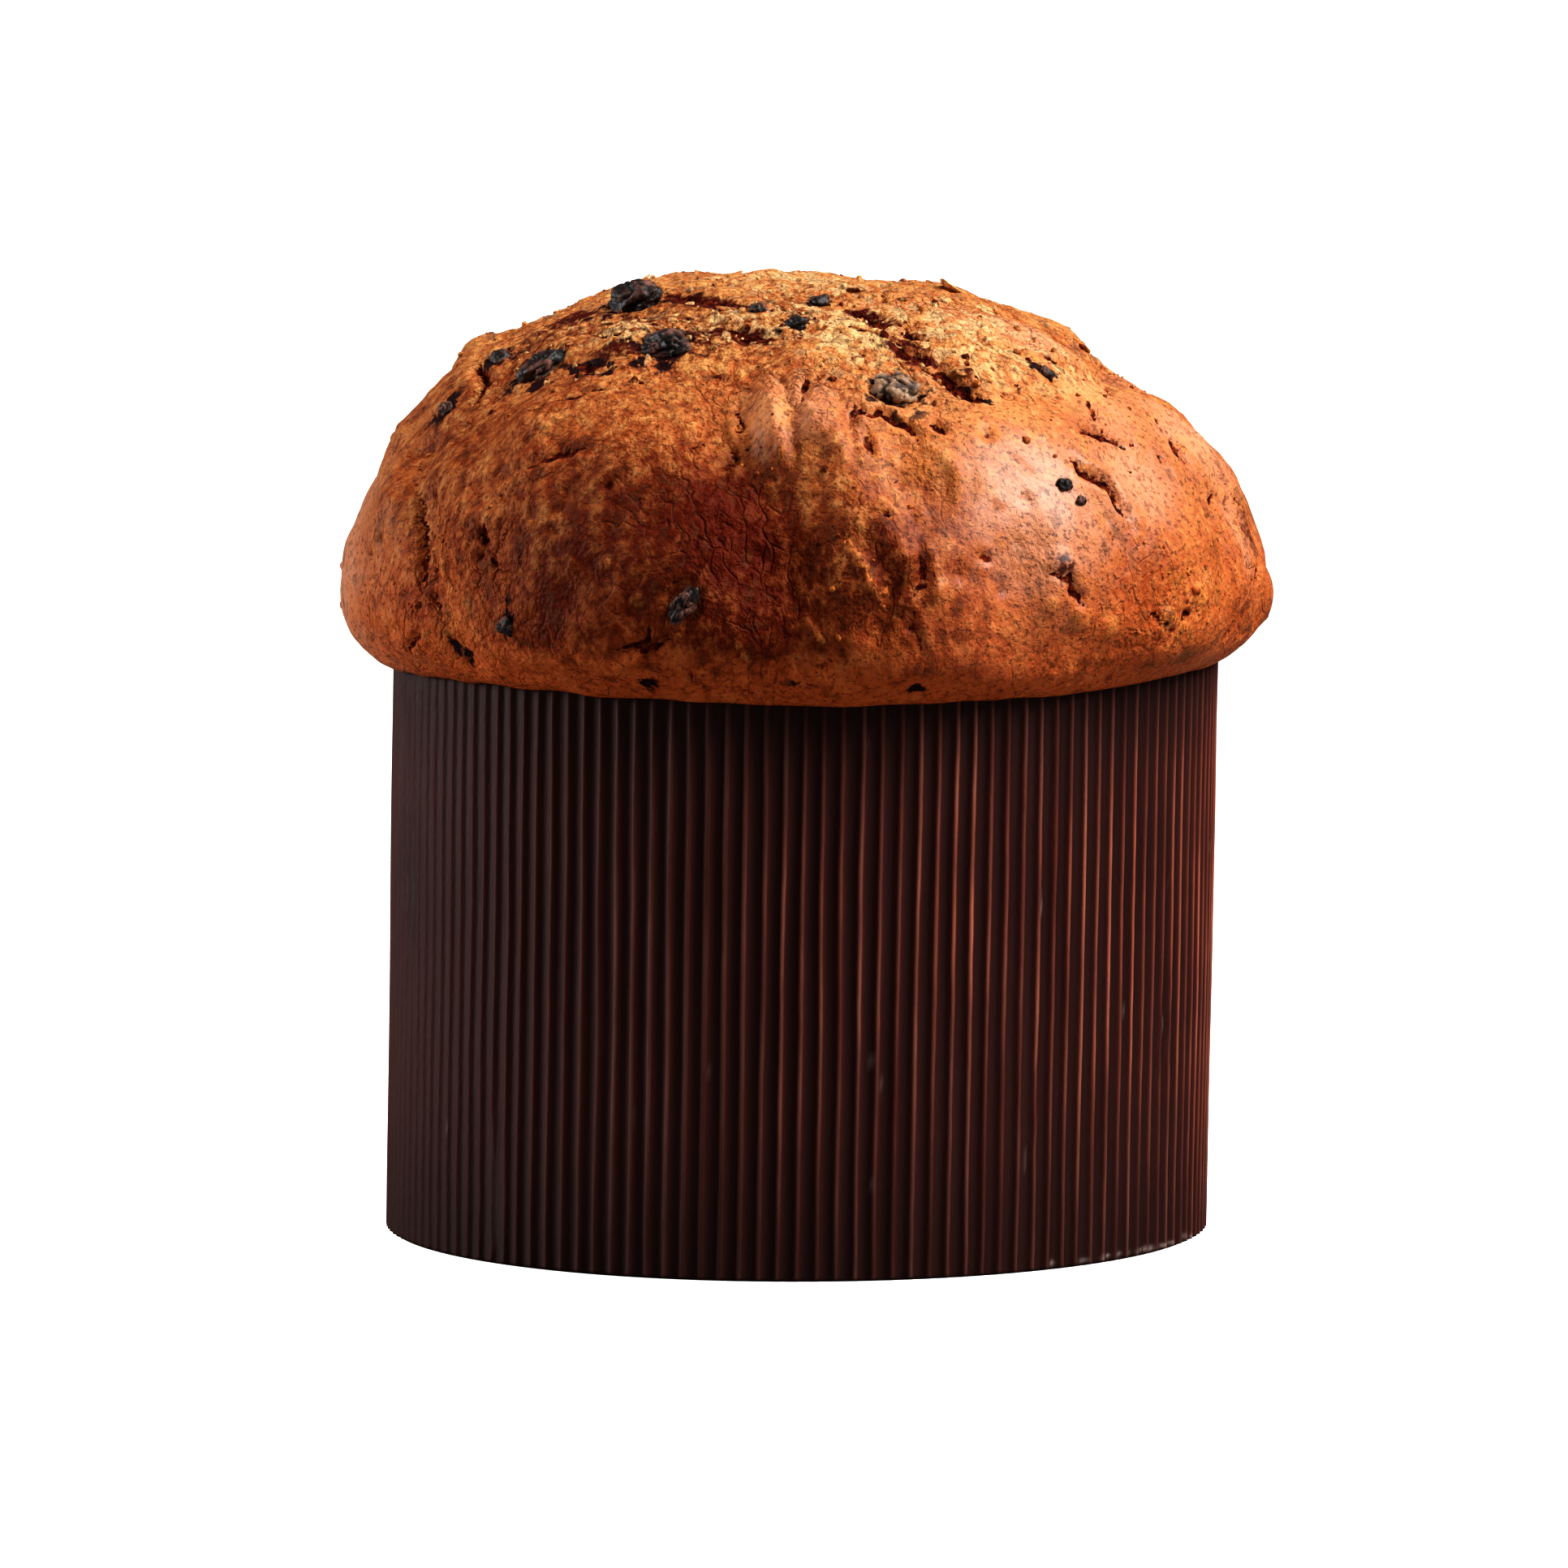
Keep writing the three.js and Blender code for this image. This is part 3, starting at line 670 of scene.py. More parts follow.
@dataclass
class Crown:
    """The crust over the case's rim: a smooth dome and lip, and how the crust stands out of it."""

    radius: float = 87.2
    top: float = 178.3
    waist: float = 118.0
    lip_drop: float = 14.5
    lip_setback: float = 14.0
    collar_radius: float = 77.3
    tilt_right: float = 1.0
    tilt_front: float = 1.2
    tilt_end: float = 134.0
    lip_lift: tuple[Place, ...] = (
        (-180, 0.4), (-120, 0.8), (-88, 2.0), (-55, 2.6), (-30, 1.5), (-5, 0.0), (25, -0.3), (55, 0.8),
        (85, 1.9), (120, 0.8), (180, 0.4),
    )
    trim: float = 0.45
    relief_fade: float = 8.0
    detail_fade: float = 3.0
    flaky_from: float = 152.0
    flaky_full: float = 165.0
    plain_coarse: float = 0.2
    flaky_coarse: float = 0.75
    satin_calm: float = 0.5
    layer_height: float = 0.6
    path_step: float = 1.3
    step_reach: float = 3.2
    step_width: float = 0.6
    lean: float = 0.0163
    lumps: Waves = Waves(44, 0.7, 24, 11)
    wrinkles: Waves = Waves(18, 0.4, 32, 23)

    def __post_init__(self) -> None:
        """Works out the section's length from the top down to the lip's end, and draws the small marks."""
        steps = np.linspace(0.0, np.pi / 2.0, 1200)
        lip = math.acos((self.collar_radius - self.radius + self.lip_setback) / self.lip_setback)
        below = np.linspace(0.0, lip, 400)[1:]
        rise = self.top - self.waist
        across = self.radius - self.lip_setback + self.lip_setback * np.cos(below)
        self.section_radius = np.concatenate([self.radius * np.sin(steps), across])
        heights = [self.waist + rise * np.cos(steps), self.waist - self.lip_drop * np.sin(below)]
        self.section_height = np.concatenate(heights)
        _, self.section_length = walked(np.stack([self.section_radius, self.section_height], axis=1))
        self.collar = float(self.section_height[-1])
        self.small_cracks = self.draw_cracks()
        self.small_spots = self.draw_spots()

    @staticmethod
    def drawn_marks(seed: int, count: int) -> Array:
        """Random azimuths and heights all over the crown, with three draws from 0 to 1 for each."""
        return drawn_rows(seed, count, (-180.0, 106.0, 0.0, 0.0, 0.0), (180.0, 177.0, 1.0, 1.0, 1.0))

    def draw_cracks(self) -> tuple[Line, ...]:
        """Short splits in random directions all round."""
        lines = []
        for azimuth, height, turn, size, depth in self.drawn_marks(31, 190):
            reach = 1.0 + 2.6 * size * size
            side = math.degrees(reach * math.cos(math.pi * turn) / self.radius_at(height))
            rise = reach * math.sin(math.pi * turn)
            path = ((azimuth - side, height - rise), (azimuth + side, min(height + rise, 178.0)))
            lines.append(Line.crack(0.3 + 0.55 * depth * size, 0.8, *path))
        return tuple(lines)

    def draw_spots(self) -> tuple[Spot, ...]:
        """Small pits, darkened partly as painted shade, and pimples all round."""
        spots = []
        for azimuth, height, kind, size, depth in self.drawn_marks(47, 420):
            spread = 0.55 + 0.6 * size
            if kind < 0.55:
                spots.append(Spot(azimuth, height, -0.35 - 0.4 * depth, spread, Tint.CREVICE, 0.5))
            else:
                spots.append(Spot(azimuth, height, 0.25 + 0.3 * depth, 0.8 * spread, Tint.GOLD, 0.3, True))
        return tuple(spots)

    def radius_at(self, height: float) -> float:
        """The smooth crown's radius at a height: a half ellipse above the waist, a tighter one below."""
        if height >= self.waist:
            share = min((height - self.waist) / (self.top - self.waist), 0.9995)
            return self.radius * math.sqrt(1.0 - share * share)
        share = min((self.waist - height) / self.lip_drop, 1.0)
        return self.radius - self.lip_setback * (1.0 - math.sqrt(1.0 - share * share))

    def smooth(self, place: Place) -> Array:
        """The point of the smooth crown at an azimuth and a height."""
        azimuth, height = place
        return round_points(self.radius_at(height), math.radians(azimuth), height)

    def along_section(self, length: Array, azimuth: Array) -> Array:
        """Points of the smooth crown, by their distance down the section from the top.

        Args:
            length: Distances from the top in millimetres.
            azimuth: Angles in radians, of the same shape.

        Returns:
            Points, with their coordinates on the last axis.
        """
        radius = np.interp(length, self.section_length, self.section_radius)
        height = np.interp(length, self.section_length, self.section_height)
        return round_points(radius, azimuth, height)

    def pulled(self, points: Array) -> Array:
        """Points near the smooth crown, pulled straight in or out from its middle until they lie on it."""
        rise, depth, lowest = self.top - self.waist, 60.0, -0.5
        up = points[:, 2] - self.waist
        share = points / self.radius
        share[:, 2] = up / np.where(up > 0.0, rise, depth)
        share /= np.linalg.norm(share, axis=1, keepdims=True)
        x, y, z = share.T
        height = self.waist + np.where(z > 0.0, z * rise, np.maximum(z, lowest) * self.lip_drop)
        radius = np.array([self.radius_at(value) for value in height])
        return round_points(radius, np.arctan2(x, -y), height)

    def normals(self, points: Array) -> Array:
        """The outward normals of the two half ellipses, from the gradient of their equations."""
        x, y, z = points.T
        radius = np.maximum(np.hypot(x, y), 1e-6)
        rise = self.top - self.waist
        dome = np.stack([x / self.radius**2, y / self.radius**2, (z - self.waist) / rise**2], axis=1)
        out = (radius - self.radius + self.lip_setback) / self.lip_setback**2
        lip = np.stack([x / radius * out, y / radius * out, (z - self.waist) / self.lip_drop**2], axis=1)
        normal = np.where((z >= self.waist)[:, None], dome, lip)
        return normal / np.linalg.norm(normal, axis=1, keepdims=True)

    def wandering(self, line: Line) -> Array:
        """A line's path on the smooth crown, cut into short pieces that wander to both sides.

        Each point between is moved by the line's jag times a normal draw; the path's ends stay.

        Args:
            line: The crack, ridge or streak.

        Returns:
            The path's points.
        """
        corners = np.array([self.smooth(place) for place in line.path])
        if not line.jag:
            return corners
        _, walk = walked(corners)
        count = max(2, int(walk[-1] / self.path_step) + 1)
        stops = np.linspace(0.0, walk[-1], count)
        path = np.stack([np.interp(stops, walk, corners[:, axis]) for axis in range(3)], axis=1)
        seed = int(abs(line.path[0][0]) * 101 + line.path[0][1] * 13)
        drift = np.random.default_rng(seed).normal(size=path.shape)
        drift[0] = 0.0
        drift[-1] = 0.0
        return path + line.jag * drift

    def add_line(self, line: Line, points: Array, normals: Array, rise: Array,
                 tints: dict[Tint, Array]) -> None:
        """Adds one line's relief and tint to the points near it.

        Args:
            line: The crack, ridge or streak.
            points: Points of the smooth crown.
            normals: Their outward normals.
            rise: The relief so far, changed here.
            tints: The masks so far, changed here.
        """
        path = self.wandering(line)
        middle = path.mean(axis=0)
        reach = np.linalg.norm(path - middle, axis=1).max() + 3.0 * line.width + 4.0 * bool(line.step)
        near = np.flatnonzero(((points - middle) ** 2).sum(axis=1) < reach * reach)
        if not len(near):
            return
        spots = points[near]
        distance = np.full(len(near), 1e9)
        side = np.zeros(len(near))
        along = np.zeros(len(near))
        lengths, walk = walked(path)
        for k, length in enumerate(lengths):
            ahead = (path[k + 1] - path[k]) / max(length, 1e-6)
            share = np.clip((spots - path[k]) @ ahead, 0.0, length)
            offset = spots - path[k] - share[:, None] * ahead
            gap = np.linalg.norm(offset, axis=1)
            closer = gap < distance
            distance = np.where(closer, gap, distance)
            left = (np.cross(normals[near], ahead) * offset).sum(axis=1)
            side = np.where(closer, left, side)
            along = np.where(closer, (walk[k] + share) / walk[-1], along)
        taper = np.clip(4.0 * along * (1.0 - along), 0.06, 1.0) ** 0.5 if line.tapered else 1.0
        rise[near] += line.rise * taper * bell(distance, line.width * taper, 4 if line.blunt else 2)
        if line.lip:
            rise[near] += line.lip * taper * bell(distance - 2.0 * line.width, line.width)
        if line.step:
            fall = bell(distance, self.step_reach) * taper
            rise[near] += 0.5 * line.step * np.tanh(side / self.step_width) * fall
        if line.tint and line.strength:
            mark = line.strength * bell(distance, line.width * taper, 4)
            tints[line.tint][near] = np.maximum(tints[line.tint][near], mark)

    def add_spot(self, spot: Spot, points: Array, rise: Array, tints: dict[Tint, Array]) -> None:
        """Adds one spot's relief and tint to the points near it."""
        middle = self.smooth((spot.azimuth, spot.height))
        squared = ((points - middle) ** 2).sum(axis=1)
        near = np.flatnonzero(squared < (3.2 * spot.spread) ** 2)
        if spot.blunt:
            shape = np.exp(-((squared[near] / (1.6 * spot.spread) ** 2) ** 2))
        else:
            shape = np.exp(-squared[near] / (2.0 * spot.spread**2))
        rise[near] += spot.rise * shape
        if spot.tint:
            layer = tints[spot.tint]
            layer[near] = 1.0 - (1.0 - layer[near]) * (1.0 - spot.strength * shape)

    def main_rise(self, points: Array, normals: Array) -> Array:
        """How far the part's own crust stands out: waves, swells and folds."""
        rise = self.lumps(points) + self.wrinkles(points)
        for swell in MAIN_SWELLS:
            middle = self.smooth((swell.azimuth, swell.height))
            squared = ((points - middle) ** 2).sum(axis=1)
            rise += swell.rise * np.exp(-squared / (2.0 * swell.spread**2))
        for fold in MAIN_FOLDS:
            self.add_line(fold, points, normals, rise, {})
        return rise

    def fine_rise(self, points: Array, coarse: Array, flaky: Array) -> Array:
        """The skin's own unevenness: lumps, furrows and pebbles where it is coarse, layers at the top.

        A layer is a smooth field cut into steps, so that each step's edge is a thin torn rim.

        Args:
            points: Points of the smooth crown.
            coarse: How coarse the skin is at each.
            flaky: How flaky it is at each.

        Returns:
            The relief at each.
        """
        bent = points + np.stack([bend(points) for bend in SKIN_BEND], axis=1)
        rise = SKIN_LUMPS(points)
        rise += sum(fold(bent, coarse) for fold in SKIN_FOLDS)
        rise += sum(grain(points, coarse) for grain in SKIN_GRAINS)
        slant = points @ np.array(LAYER_SLANT)
        field = sum(layer(slant) for layer in LAYER_FIELD)
        floor = np.floor(field)
        layers = floor + smoothstep(field - floor, 0.4, 0.6)
        return rise + self.layer_height * flaky * (layers - field - 0.25)

    def sockets(self, points: Array, rise: Array, tints: dict[Tint, Array]) -> Array:
        """Sinks the crust round each raisin and bit, raises a rim round it, calms the skin there, and
        darkens the gap round it as painted shade.

        Distances from a raisin's middle are in shares of its size.

        Args:
            points: Points of the smooth crown.
            rise: The detail's relief so far.
            tints: The masks so far, changed here.

        Returns:
            The relief with the sockets in it.
        """
        holders = [(r.azimuth, r.height, 0.5 * (r.half[0] + r.half[1])) for r in RAISINS]
        holders += [(b.azimuth, b.height, 0.9 * b.half) for b in BITS]
        for azimuth, height, size in holders:
            away = np.linalg.norm(points - self.smooth((azimuth, height)), axis=1) / size
            calm, rim, gap = bell(away, 1.15, 4), bell(away - 1.3, 0.26), bell(away - 1.02, 0.14)
            depth = min(0.12 * size, 0.5)
            rise = rise * (1.0 - calm) + depth * (0.9 * rim - 1.3 * calm)
            # Painted shade in the gap round the raisin
            tints[Tint.CREVICE] = np.maximum(tints[Tint.CREVICE], 0.75 * gap)
        return rise

    def crust(self, points: Array, detailed: bool = True) -> tuple[Array, dict[Tint, Array]]:
        """Moves points of the smooth crown out to the crust.

        The part's own relief comes first, then the scene's detail; both fade out at the collar. The
        lip hangs lower at the left and front, and the whole loaf leans to the right as it rises.

        Args:
            points: Points of the smooth crown, one a row.
            detailed: Whether the scene's detail is added to the part's relief.

        Returns:
            The crust's points and its masks.
        """
        normals = self.normals(points)
        height = points[:, 2]
        tints = {tint: np.zeros(len(points)) for tint in Tint}
        rise = self.main_rise(points, normals)
        rise *= smoothstep(height, self.collar, self.collar + self.relief_fade)
        if detailed:
            detail = np.zeros(len(points))
            for tint, patches in PATCHES.items():
                for azimuth, place, spread, strength in patches:
                    self.add_spot(Spot(azimuth, place, 0.0, spread, tint, strength), points, detail, tints)
            for line in STREAKS:
                self.add_line(line, points, normals, detail, tints)
            flaky = smoothstep(height, self.flaky_from, self.flaky_full) * (0.65 + FLAKY_CLOUDS(points))
            coarse = self.plain_coarse + tints[Tint.COARSE] + self.flaky_coarse * flaky
            tints[Tint.COARSE] = np.clip(coarse - self.satin_calm * tints[Tint.SATIN], 0.0, 1.0)
            detail += self.fine_rise(points, tints[Tint.COARSE], np.clip(flaky, 0.0, 1.0))
            for spot in (*KNOBS, *self.small_spots):
                self.add_spot(spot, points, detail, tints)
            for line in (*CRACKS, *RIDGES, *self.small_cracks):
                self.add_line(line, points, normals, detail, tints)
            detail = self.sockets(points, detail, tints)
            for swell in SKYLINE:
                self.add_spot(swell, points, detail, tints)
            detail -= self.trim
            rise += detail * smoothstep(height, self.collar, self.collar + self.detail_fade)
        moved = points + normals * rise[:, None]
        radius = np.maximum(np.hypot(points[:, 0], points[:, 1]), 1.0)
        tilt = (self.tilt_right * points[:, 0] + self.tilt_front * points[:, 1]) / radius
        if detailed:
            around = np.degrees(np.arctan2(points[:, 0], -points[:, 1]))
            tilt += np.interp(around, *zip(*self.lip_lift)) + LIP_WAVES(points)
        moved[:, 2] += tilt * (1.0 - smoothstep(height, self.waist, self.tilt_end))
        return self.leaning(moved), tints

    def leaning(self, points: Array) -> Array:
        """Shears points to the right as they rise."""
        leant = points.copy()
        leant[:, 0] += self.lean * leant[:, 2]
        return leant

    def seat(self, azimuth: float, height: float, turn: float, sink: float) -> tuple[Array, Array]:
        """Where something set in the crust sits, before the loaf's lean.

        Args:
            azimuth: Its azimuth in degrees.
            height: Its height in millimetres.
            turn: How far it is turned in the crust, in degrees.
            sink: How deep its middle lies under the crust.

        Returns:
            Its middle, and three rows: along its length, across it, and out of the crust.
        """
        smooth = self.smooth((azimuth, height))[None]
        out = self.normals(smooth)[0]
        angle = math.radians(azimuth)
        level = np.array([math.cos(angle), math.sin(angle), 0.0])
        level -= level.dot(out) * out
        level /= np.linalg.norm(level)
        side = np.cross(out, level)
        spin = math.radians(turn)
        along = math.cos(spin) * level + math.sin(spin) * side
        across = np.cross(out, along)
        middle = self.crust(smooth, detailed=False)[0][0]
        middle[0] -= self.lean * middle[2]
        return middle - sink * out, np.stack([along, across, out])


@dataclass
class ShaderNodes:
    """Short calls that place and join shader nodes."""

    tree: NodeTree

    def place(self, kind: str, **settings: object) -> Node:
        """Places a node of a kind with its settings."""
        node = self.tree.nodes.new(f"ShaderNode{kind}")
        for label, value in settings.items():
            setattr(node, label, value)
        return node

    def feed(self, socket: NodeSocket, value: object) -> None:
        """Joins a socket to another's output, or sets its value."""
        if isinstance(value, NodeSocket):
            self.tree.links.new(value, socket)
        else:
            socket.default_value = value

    def feed_all(self, node: Node, values: dict[str, object]) -> None:
        """Joins or sets several of a node's inputs by their labels."""
        for label, value in values.items():
            self.feed(node.inputs[label], value)

    def math(self, operation: str, *values: object, clamp: bool = False) -> NodeSocket:
        """A Math node's output."""
        node = self.place("Math", operation=operation, use_clamp=clamp)
        for socket, value in zip(node.inputs, values):
            self.feed(socket, value)
        return node.outputs[0]

    def times(self, first: object, second: object, plus: object = 0.0) -> NodeSocket:
        """The product of two numbers, with a third added to it."""
        return self.math("MULTIPLY_ADD", first, second, plus)

    def total(self, start: object, *parts: tuple[object, object]) -> NodeSocket:
        """A number with others added to it, each times its own share."""
        for value, share in parts:
            start = self.times(value, share, start)
        return start

    def mix(self, share: object, first: object, second: object) -> NodeSocket:
        """A colour between two colours."""
        node = self.place("Mix", data_type="RGBA")
        for socket, value in zip((node.inputs[0], node.inputs[6], node.inputs[7]), (share, first, second)):
            self.feed(socket, value)
        return node.outputs[2]

    def layered(self, color: object, *layers: tuple[object, object]) -> NodeSocket:
        """A colour with others laid over it in order, each by its own share."""
        for share, tone in layers:
            color = self.mix(share, color, tone)
        return color

    def mix_value(self, share: object, first: object, second: object) -> NodeSocket:
        """A number between two numbers."""
        node = self.place("Mix", data_type="FLOAT")
        for socket, value in zip(node.inputs[:1] + node.inputs[2:4], (share, first, second)):
            self.feed(socket, value)
        return node.outputs[0]

    def spread(self, value: object, low: float, high: float, new_low: float = 0.0,
               new_high: float = 1.0) -> NodeSocket:
        """A value stretched from one range to another and kept inside it."""
        node = self.place("MapRange", interpolation_type="SMOOTHSTEP")
        for socket, number in zip(node.inputs, (value, low, high, new_low, new_high)):
            self.feed(socket, number)
        return node.outputs[0]

    def mask(self, label: str) -> NodeSocket:
        """A mask that the mesh carries."""
        return self.place("Attribute", attribute_name=label).outputs["Fac"]

    def where(self, stretch: tuple[float, float, float] = (1.0, 1.0, 1.0)) -> NodeSocket:
        """The place on the object, stretched along its axes."""
        place = self.place("TexCoord").outputs["Object"]
        if stretch == (1.0, 1.0, 1.0):
            return place
        node = self.place("Mapping", vector_type="POINT")
        self.feed_all(node, {"Vector": place, "Scale": stretch})
        return node.outputs[0]

    def noise(self, place: object, scale: object, detail: float = 2.0, roughness: float = 0.5) -> Node:
        """Places a Noise texture."""
        node = self.place("TexNoise")
        self.feed_all(node, {"Vector": place, "Scale": scale, "Detail": detail, "Roughness": roughness})
        return node

    def cells(self, feature: str, place: object, scale: object) -> NodeSocket:
        """A Voronoi texture's distance."""
        node = self.place("TexVoronoi", feature=feature)
        self.feed_all(node, {"Vector": place, "Scale": scale})
        return node.outputs["Distance"]

    def bump(self, surface: Node, height: object, strength: float, distance: float) -> None:
        """Gives a surface fine relief by a height, over a distance in metres."""
        node = self.place("Bump")
        self.feed_all(node, {"Strength": strength, "Distance": distance, "Height": height})
        self.feed(surface.inputs["Normal"], node.outputs[0])

    def group(self, tree: NodeTree, **values: object) -> Node:
        """Places a node group with its own values."""
        node = self.tree.nodes.new("ShaderNodeGroup")
        node.node_tree = tree
        self.feed_all(node, values)
        return node


def new_group(
    name: str, inputs: dict[str, object], outputs: Sequence[str]
) -> tuple[ShaderNodes, Node, Node]:
    """Starts a shader node group with named sockets.

    Args:
        name: The group's name.
        inputs: Names of inputs with their first values; None makes a vector input.
        outputs: Names of number outputs.

    Returns:
        The group's nodes, its input node and its output node.
    """
    tree = bpy.data.node_groups.new(name, "ShaderNodeTree")
    for label, value in inputs.items():
        kind = "NodeSocketVector" if value is None else "NodeSocketFloat"
        socket = tree.interface.new_socket(label, in_out="INPUT", socket_type=kind)
        if value is not None:
            socket.default_value = value
    for label in outputs:
        tree.interface.new_socket(label, in_out="OUTPUT", socket_type="NodeSocketFloat")
    return ShaderNodes(tree), tree.nodes.new("NodeGroupInput"), tree.nodes.new("NodeGroupOutput")


@dataclass
class SharedEffects:
    """The node groups that the crust, the paper and the raisins share."""

    mottle: NodeTree
    grain: NodeTree
    pebbles: NodeTree

    @classmethod
    def build(cls) -> SharedEffects:
        """Builds the three groups once."""
        return cls(cls.build_mottle(), cls.build_grain(), cls.build_pebbles())

    @staticmethod
    def build_pebbles() -> NodeTree:
        """Rounded lumps of Size metres with narrow gaps: their height, and a mask of the gaps."""
        inputs = {"Place": None, "Size": 0.002, "Bend": 0.4}
        nodes, start, end = new_group("pebbles", inputs, ["Height", "Gap"])
        place, size, bend = start.outputs[:3]
        scale = nodes.math("DIVIDE", 1.0, size)
        noise = nodes.noise(place, nodes.times(scale, 0.8))
        push = nodes.place("VectorMath", operation="SCALE")
        nodes.feed(push.inputs[0], noise.outputs["Color"])
        nodes.feed(push.inputs["Scale"], nodes.times(size, bend))
        bent = nodes.place("VectorMath", operation="ADD")
        nodes.feed(bent.inputs[0], place)
        nodes.feed(bent.inputs[1], push.outputs[0])
        lump = nodes.cells("SMOOTH_F1", bent.outputs[0], scale)
        edge = nodes.cells("DISTANCE_TO_EDGE", bent.outputs[0], scale)
        height = nodes.times(noise.outputs[0], 0.8, nodes.math("SUBTRACT", 1.0, lump))
        nodes.feed_all(end, {"Height": height, "Gap": nodes.spread(edge, 0.09, 0.0)})
        return nodes.tree

    @staticmethod
    def build_mottle() -> NodeTree:
        """Soft cloudy patches: a mask with patches of Size metres and edges of Softness."""
        inputs = {"Place": None, "Size": 0.005, "Softness": 0.2, "Level": 0.5}
        nodes, start, end = new_group("mottle", inputs, ["Mask"])
        place, size, softness, level = start.outputs[:4]
        noise = nodes.noise(place, nodes.math("DIVIDE", 1.0, size), detail=3.0, roughness=0.6)
        low, high = (nodes.math(operation, level, softness) for operation in ("SUBTRACT", "ADD"))
        nodes.feed(end.inputs["Mask"], nodes.spread(noise.outputs[0], low, high))
        return nodes.tree

    @staticmethod
    def build_grain() -> NodeTree:
        """Fine skin: a height of fine grain with pores of Size metres, and a mask of the pores."""
        inputs = {"Place": None, "Size": 0.001, "Pores": 0.5}
        nodes, start, end = new_group("grain", inputs, ["Height", "Pore"])
        place, size, pores = start.outputs[:3]
        scale = nodes.math("DIVIDE", 1.0, size)
        noise = nodes.noise(place, scale, detail=4.0, roughness=0.62)
        hole = nodes.spread(nodes.cells("F1", place, nodes.times(scale, 0.42)), 0.24, 0.1)
        pore = nodes.times(hole, pores)
        nodes.feed_all(end, {"Height": nodes.times(pore, -0.6, noise.outputs[0]), "Pore": pore})
        return nodes.tree

    def patches(self, nodes: ShaderNodes, place: object, size: float, softness: float,
                level: float = 0.5) -> NodeSocket:
        """The mottle's mask, with patches of a size in metres and more of them at a lower level."""
        return nodes.group(self.mottle, Place=place, Size=size, Softness=softness, Level=level).outputs[0]


def start_material(name: str) -> tuple[Material, ShaderNodes, Node]:
    """A new material, its nodes and its Principled BSDF."""
    material = bpy.data.materials.new(name)
    material.use_nodes = True
    nodes = ShaderNodes(material.node_tree)
    return material, nodes, material.node_tree.nodes["Principled BSDF"]


@dataclass
class CrustPatterns:
    """The masks and textures that break up the crust's colour and relief, each placed once."""

    nodes: ShaderNodes
    effects: SharedEffects
    stretch: tuple[float, float, float] = (1.0, 1.0, 0.7)

    def __post_init__(self) -> None:
        """Places them; sizes are in metres."""
        nodes, effects = self.nodes, self.effects
        place, upright = nodes.where(), nodes.where(self.stretch)
        axes = nodes.place("SeparateXYZ")
        nodes.feed(axes.inputs[0], place)
        self.height = axes.outputs["Z"]
        self.coarse = nodes.mask(Tint.COARSE.value)
        self.satin = nodes.mask(Tint.SATIN.value)
        self.browned_and_shaded = nodes.mask(Tint.BROWNED_AND_SHADED.value)
        self.broad = effects.patches(nodes, place, size=0.014, softness=0.25)
        self.blotch = effects.patches(nodes, upright, size=0.0034, softness=0.15)
        self.speckle = effects.patches(nodes, place, size=0.0015, softness=0.17)
        self.crumbs = effects.patches(nodes, place, size=0.0009, softness=0.05, level=0.62)
        self.shreds = effects.patches(nodes, place, size=0.0013, softness=0.1)
        plain = effects.patches(nodes, place, size=0.001, softness=0.06, level=0.37)
        self.freckle = nodes.math("SUBTRACT", 1.0, plain)
        self.grain = nodes.group(effects.grain, Place=place, Size=0.0007, Pores=0.8)
        self.pebble = nodes.group(effects.pebbles, Place=upright, Size=0.0019, Bend=1.1)
        self.gap = nodes.times(self.pebble.outputs["Gap"], nodes.spread(self.coarse, 0.1, 0.7, 0.0, 0.8))
        leather = nodes.group(effects.pebbles, Place=upright, Size=0.0052, Bend=1.9)
        crease = nodes.times(leather.outputs["Gap"], nodes.spread(self.broad, 0.1, 0.9, 0.15, 1.0))
        self.crease = nodes.times(crease, nodes.spread(self.satin, 0.0, 0.7, 1.0, 0.12))
        self.split = self.torn(Tint.CREVICE, self.speckle, 0.3, 0.72, 1.0)

    def torn(self, tint: Tint, noise: object, share: float, low: float, high: float) -> NodeSocket:
        """A mesh mask with its soft edge broken into crisp crumbs by a share of a noise.

        Args:
            tint: The mask.
            noise: What breaks it up.
            share: How much of the noise is added.
            low: The sum at which the result starts.
            high: The sum at which it is full.

        Returns:
            The broken mask.
        """
        broken = self.nodes.times(noise, share, self.nodes.mask(tint.value))
        return self.nodes.spread(broken, low, high)


